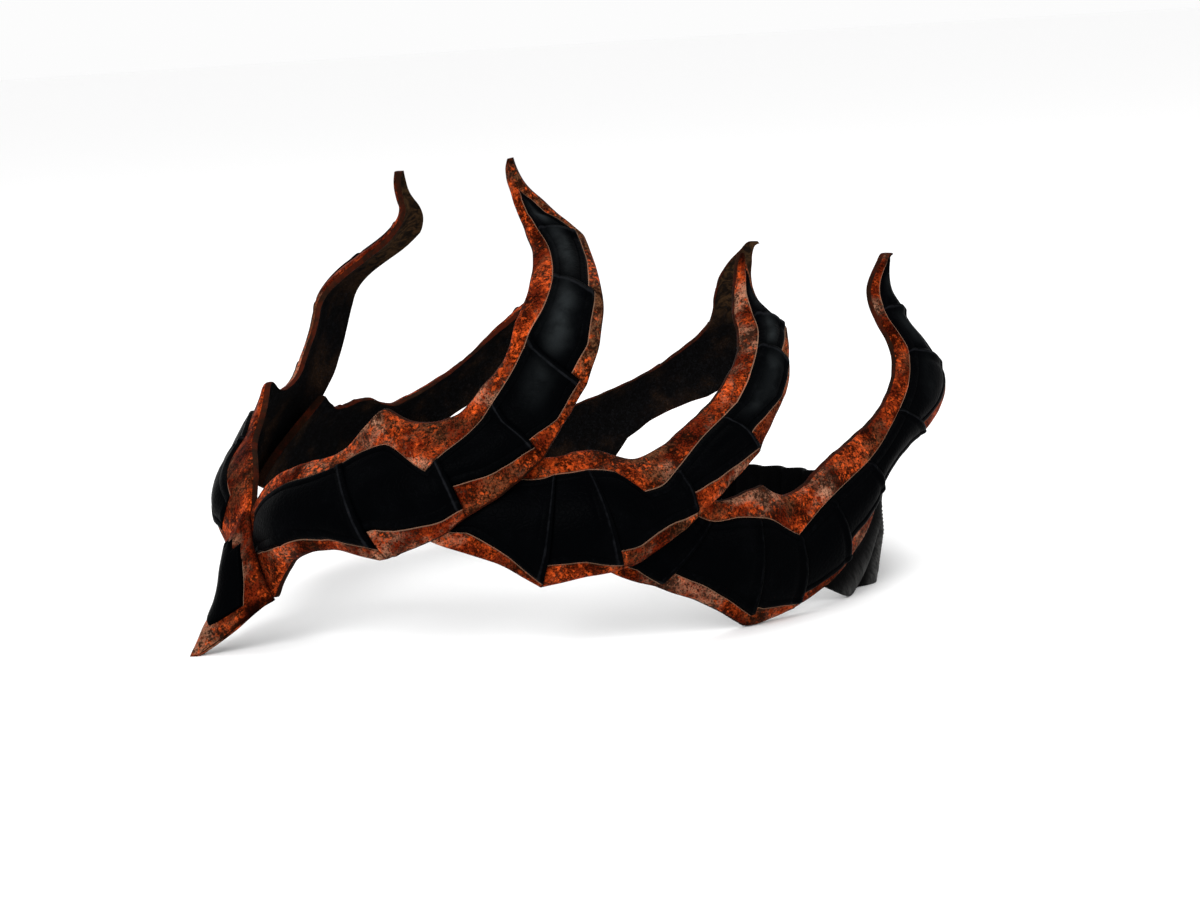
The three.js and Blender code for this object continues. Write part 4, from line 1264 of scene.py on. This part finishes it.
def black_material():
    """Dyed black panel."""
    finish = bpy.context.scene.leather_crown.finish
    material, tree, shader = new_finish("Black panel leather", BLACK_GLOSS)
    grain = use_group(tree, grain_group(), Scale=700.0)["Height"]
    dust = use_group(tree, dust_group(), Amount=0.08)["Mask"]
    # The lighter rims and lame beads are partly wear and partly a painted highlight
    from_lip = math_node(tree, "SUBTRACT", 1.0, mask_of(tree, "lip"))
    wear = use_group(tree, wear_group(), Rim=from_lip, Reach=0.3)["Mask"]
    cloud = noise(tree, surface_vector(tree), "dye")
    colour = mix_colour(tree, dust, finish.black, finish.worn_black)
    colour = layer(tree, colour, wear, 0.45, finish.worn_black)
    # Painted sheen: the middle of each horn lame is lightened to stand in for a highlight
    uneven = step_up(tree, cloud, 0.35, 0.65, 0.35, 1.0)
    colour = layer(tree, colour, mask_of(tree, "polish"), uneven, finish.sheen_black)
    tree.links.new(step_up(tree, cloud, 0.3, 0.7, 0.3, 0.42), shader["Roughness"])
    feed(tree, shader, colour, grain, BLACK_RELIEF)
    return material


def edge_material():
    """Burnished cut edge."""
    finish = bpy.context.scene.leather_crown.finish
    material, tree, shader = new_finish("Burnished leather edge", EDGE_GLOSS)
    patina = use_group(tree, patina_group(), Shift=EDGE_PATINA_SHIFT)
    dust = use_group(tree, dust_group(), Amount=0.15)["Mask"]
    colour = layer(tree, finish.cut_edge, patina["Orange"], 0.35, finish.rust)
    colour = mix_colour(tree, dust, colour, finish.bronze)
    tree.links.new(step_up(tree, patina["Height"], 0.3, 0.8, 0.42, 0.62), shader["Roughness"])
    feed(tree, shader, colour, patina["Height"], EDGE_RELIEF)
    return material


def flesh_material():
    """Dyed flesh side, seen inside the crown."""
    finish = bpy.context.scene.leather_crown.finish
    material, tree, shader = new_finish("Dyed flesh side", FLESH_GLOSS)
    vector = surface_vector(tree)
    fibre = noise(tree, vector, "fibre")
    smears = noise(tree, vector, "smears")
    dust = use_group(tree, dust_group(), Amount=0.22)["Mask"]
    colour = mix_colour(tree, step_up(tree, fibre, 0.45, 0.75, 0.0, 0.35), finish.flesh, finish.worn_black)
    colour = mix_colour(tree, dust, colour, finish.bronze)
    stain = step_up(tree, smears, 0.4, 0.62, 0.1, 1.0)
    colour = layer(tree, colour, mask_of(tree, "tip"), stain, finish.tip)
    shader["Roughness"].default_value = FLESH_ROUGHNESS
    feed(tree, shader, colour, fibre, FLESH_RELIEF)
    return material


def strap_material():
    """Soft black strap leather, with a painted highlight on the pleat ridges."""
    finish = bpy.context.scene.leather_crown.finish
    material, tree, shader = new_finish("Soft strap leather", STRAP_GLOSS)
    stretched = {"Vector": surface_vector(tree), "Scale": STREAK_STRETCH}
    vector = add_node(tree, "ShaderNodeMapping", stretched).outputs[0]
    streak = noise(tree, vector, "streak")
    grain = use_group(tree, grain_group(), Scale=1000.0)["Height"]
    dust = use_group(tree, dust_group(), Amount=0.2)["Mask"]
    wear = use_group(tree, wear_group(), Rim=mask_of(tree, "rim"), Reach=0.1)["Mask"]
    # Painted highlight: the pleat ridges are lightened, broken up by streaks, to stand in for their lit
    # crests
    raised = math_node(tree, "POWER", mask_of(tree, "ridge"), 2.6)
    highlight_breakup = step_up(tree, streak, 0.35, 0.65, 0.25, 1.0)
    colour = layer(tree, finish.strap, raised, highlight_breakup, finish.strap_ridge_highlight)
    colour = layer(tree, colour, wear, 0.5, finish.black)
    colour = mix_colour(tree, dust, colour, finish.worn_black)
    tree.links.new(step_up(tree, streak, 0.3, 0.7, 0.4, 0.62), shader["Roughness"])
    feed(tree, shader, colour, blend(tree, streak, 0.6, grain, 0.5), STRAP_RELIEF)
    return material


FINISHES = {}


def plate_materials():
    """The four finishes of a plate, made once."""
    if not FINISHES:
        FINISHES.update({COPPER: copper_material(), BLACK: black_material(), EDGE: edge_material(),
                         INSIDE: flesh_material()})
    return [FINISHES[number] for number in (COPPER, BLACK, EDGE, INSIDE)]


# The studio

# The floor's outline, the camera's sensor and range, and the light from all round
FLOOR_SIDES = 64
SENSOR_WIDTH = 36.0
NEAREST_SEEN = 0.01
FURTHEST_SEEN = 100.0
WHITE = (1.0, 1.0, 1.0, 1.0)

# What the lights point at, and each light's name, setting, place and size
LIT_PLACE = (0.0, 0.0, 0.06)
LIGHTS = (
    ("key_light", "key_power", (0.75, -1.1, 0.95), 0.6),
    ("side_light", "side_power", (1.2, 0.75, 0.75), 0.5),
    ("top_light", "top_power", (-0.3, 0.1, 1.4), 1.0),
)


def build_floor(stage):
    """A pale floor that runs out of sight."""
    mesh = bpy.data.meshes.new("studio_floor")
    turns = [2 * math.pi * k / FLOOR_SIDES for k in range(FLOOR_SIDES)]
    rim = [(stage.floor_radius * math.cos(turn), stage.floor_radius * math.sin(turn), 0.0) for turn in turns]
    mesh.from_pydata(rim, [], [list(range(FLOOR_SIDES))])
    floor = bpy.data.objects.new("studio_floor", mesh)
    bpy.context.scene.collection.objects.link(floor)
    material, _, shader = new_finish("Pale floor", FLOOR_GLOSS)
    shader["Base Color"].default_value = (*stage.floor_colour, 1.0)
    shader["Roughness"].default_value = FLOOR_ROUGHNESS
    mesh.materials.append(material)


def add_softbox(name, power, place, size):
    """A square soft light that points at the crown."""
    lamp = bpy.data.lights.new(name, "AREA")
    lamp.energy = power
    lamp.shape = "SQUARE"
    lamp.size = size
    light = bpy.data.objects.new(name, lamp)
    light.location = place
    light.rotation_euler = (Vector(LIT_PLACE) - Vector(place)).to_track_quat("-Z", "Y").to_euler()
    bpy.context.scene.collection.objects.link(light)


def add_camera(stage):
    """The camera at the photograph's angle."""
    level = math.cos(stage.elevation)
    back = Vector((math.sin(stage.azimuth) * level, -math.cos(stage.azimuth) * level,
                   math.sin(stage.elevation)))
    right = (-back).cross(Vector((0.0, 0.0, 1.0))).normalized()
    upward = right.cross(-back)
    side = math.cos(stage.roll) * right + math.sin(stage.roll) * upward
    top = -math.sin(stage.roll) * right + math.cos(stage.roll) * upward
    lens = bpy.data.cameras.new("camera")
    lens.lens = stage.lens
    lens.sensor_width = SENSOR_WIDTH
    lens.clip_start = NEAREST_SEEN
    lens.clip_end = FURTHEST_SEEN
    camera = bpy.data.objects.new("camera", lens)
    place = Vector(stage.target) + back * stage.distance
    turn = Matrix((side, top, back)).transposed()
    camera.matrix_world = Matrix.Translation(place) @ turn.to_4x4()
    bpy.context.scene.collection.objects.link(camera)
    bpy.context.scene.camera = camera


def build_stage():
    """Floor, light and camera."""
    stage = bpy.context.scene.leather_crown.stage
    build_floor(stage)
    world = bpy.data.worlds.new("studio")
    world.use_nodes = True
    surround = world.node_tree.nodes["Background"].inputs
    surround["Color"].default_value = WHITE
    surround["Strength"].default_value = stage.sky_strength
    bpy.context.scene.world = world
    bpy.context.scene.view_settings.view_transform = "Standard"
    for name, setting, place, size in LIGHTS:
        add_softbox(name, getattr(stage, setting), place, size)
    add_camera(stage)


# Operators and panel


class CROWN_OT_stage(bpy.types.Operator):
    """Set up the floor, the light and the camera"""
    bl_idname = "crown.stage"
    bl_label = "Studio"

    def execute(self, context):
        build_stage()
        return {"FINISHED"}


class CROWN_OT_centre_plate(bpy.types.Operator):
    """Build the folded brow plate with its nose guard"""
    bl_idname = "crown.centre_plate"
    bl_label = "Brow plate"

    def execute(self, context):
        build_centre_plate()
        return {"FINISHED"}


class CROWN_OT_front_plates(bpy.types.Operator):
    """Build the two front plates with the tall horns"""
    bl_idname = "crown.front_plates"
    bl_label = "Front plates"

    def execute(self, context):
        build_plates(FRONT_PLATE)
        return {"FINISHED"}


class CROWN_OT_middle_plates(bpy.types.Operator):
    """Build the two middle plates, behind the front ones"""
    bl_idname = "crown.middle_plates"
    bl_label = "Middle plates"

    def execute(self, context):
        build_plates(MIDDLE_PLATE)
        return {"FINISHED"}


class CROWN_OT_rear_plates(bpy.types.Operator):
    """Build the two rear plates, over the ends of the strap"""
    bl_idname = "crown.rear_plates"
    bl_label = "Rear plates"

    def execute(self, context):
        build_plates(REAR_PLATE)
        return {"FINISHED"}


class CROWN_OT_back_strap(bpy.types.Operator):
    """Build the pleated strap"""
    bl_idname = "crown.back_strap"
    bl_label = "Back strap"

    def execute(self, context):
        build_back_strap()
        return {"FINISHED"}


PIECE_OPERATORS = (CROWN_OT_centre_plate, CROWN_OT_front_plates, CROWN_OT_middle_plates,
                   CROWN_OT_rear_plates, CROWN_OT_back_strap, CROWN_OT_stage)


class CROWN_PT_panel(bpy.types.Panel):
    """The crown's pieces and sizes"""
    bl_idname = "CROWN_PT_panel"
    bl_label = "Leather crown"
    bl_space_type = "VIEW_3D"
    bl_region_type = "UI"
    bl_category = "Crown"

    def draw(self, context):
        settings = context.scene.leather_crown
        for group in (settings.leather, settings.strap, settings.finish, settings.stage):
            box = self.layout.box()
            for name in group.__annotations__:
                box.prop(group, name)
        for operator in PIECE_OPERATORS:
            self.layout.operator(operator.bl_idname)


CLASSES = (LeatherSettings, StrapSettings, FinishSettings, StageSettings, CrownSettings,
           *PIECE_OPERATORS, CROWN_PT_panel)


def register():
    """Make the settings, operators and panel known."""
    for kind in CLASSES:
        bpy.utils.register_class(kind)
    bpy.types.Scene.leather_crown = bpy.props.PointerProperty(type=CrownSettings)


def unregister():
    """Take them away again."""
    del bpy.types.Scene.leather_crown
    for kind in reversed(CLASSES):
        bpy.utils.unregister_class(kind)


def main():
    """Build the crown and its studio."""
    register()
    bpy.ops.crown.stage()
    bpy.ops.crown.centre_plate()
    bpy.ops.crown.front_plates()
    bpy.ops.crown.middle_plates()
    bpy.ops.crown.rear_plates()
    bpy.ops.crown.back_strap()


if __name__ == "__main__":
    main()
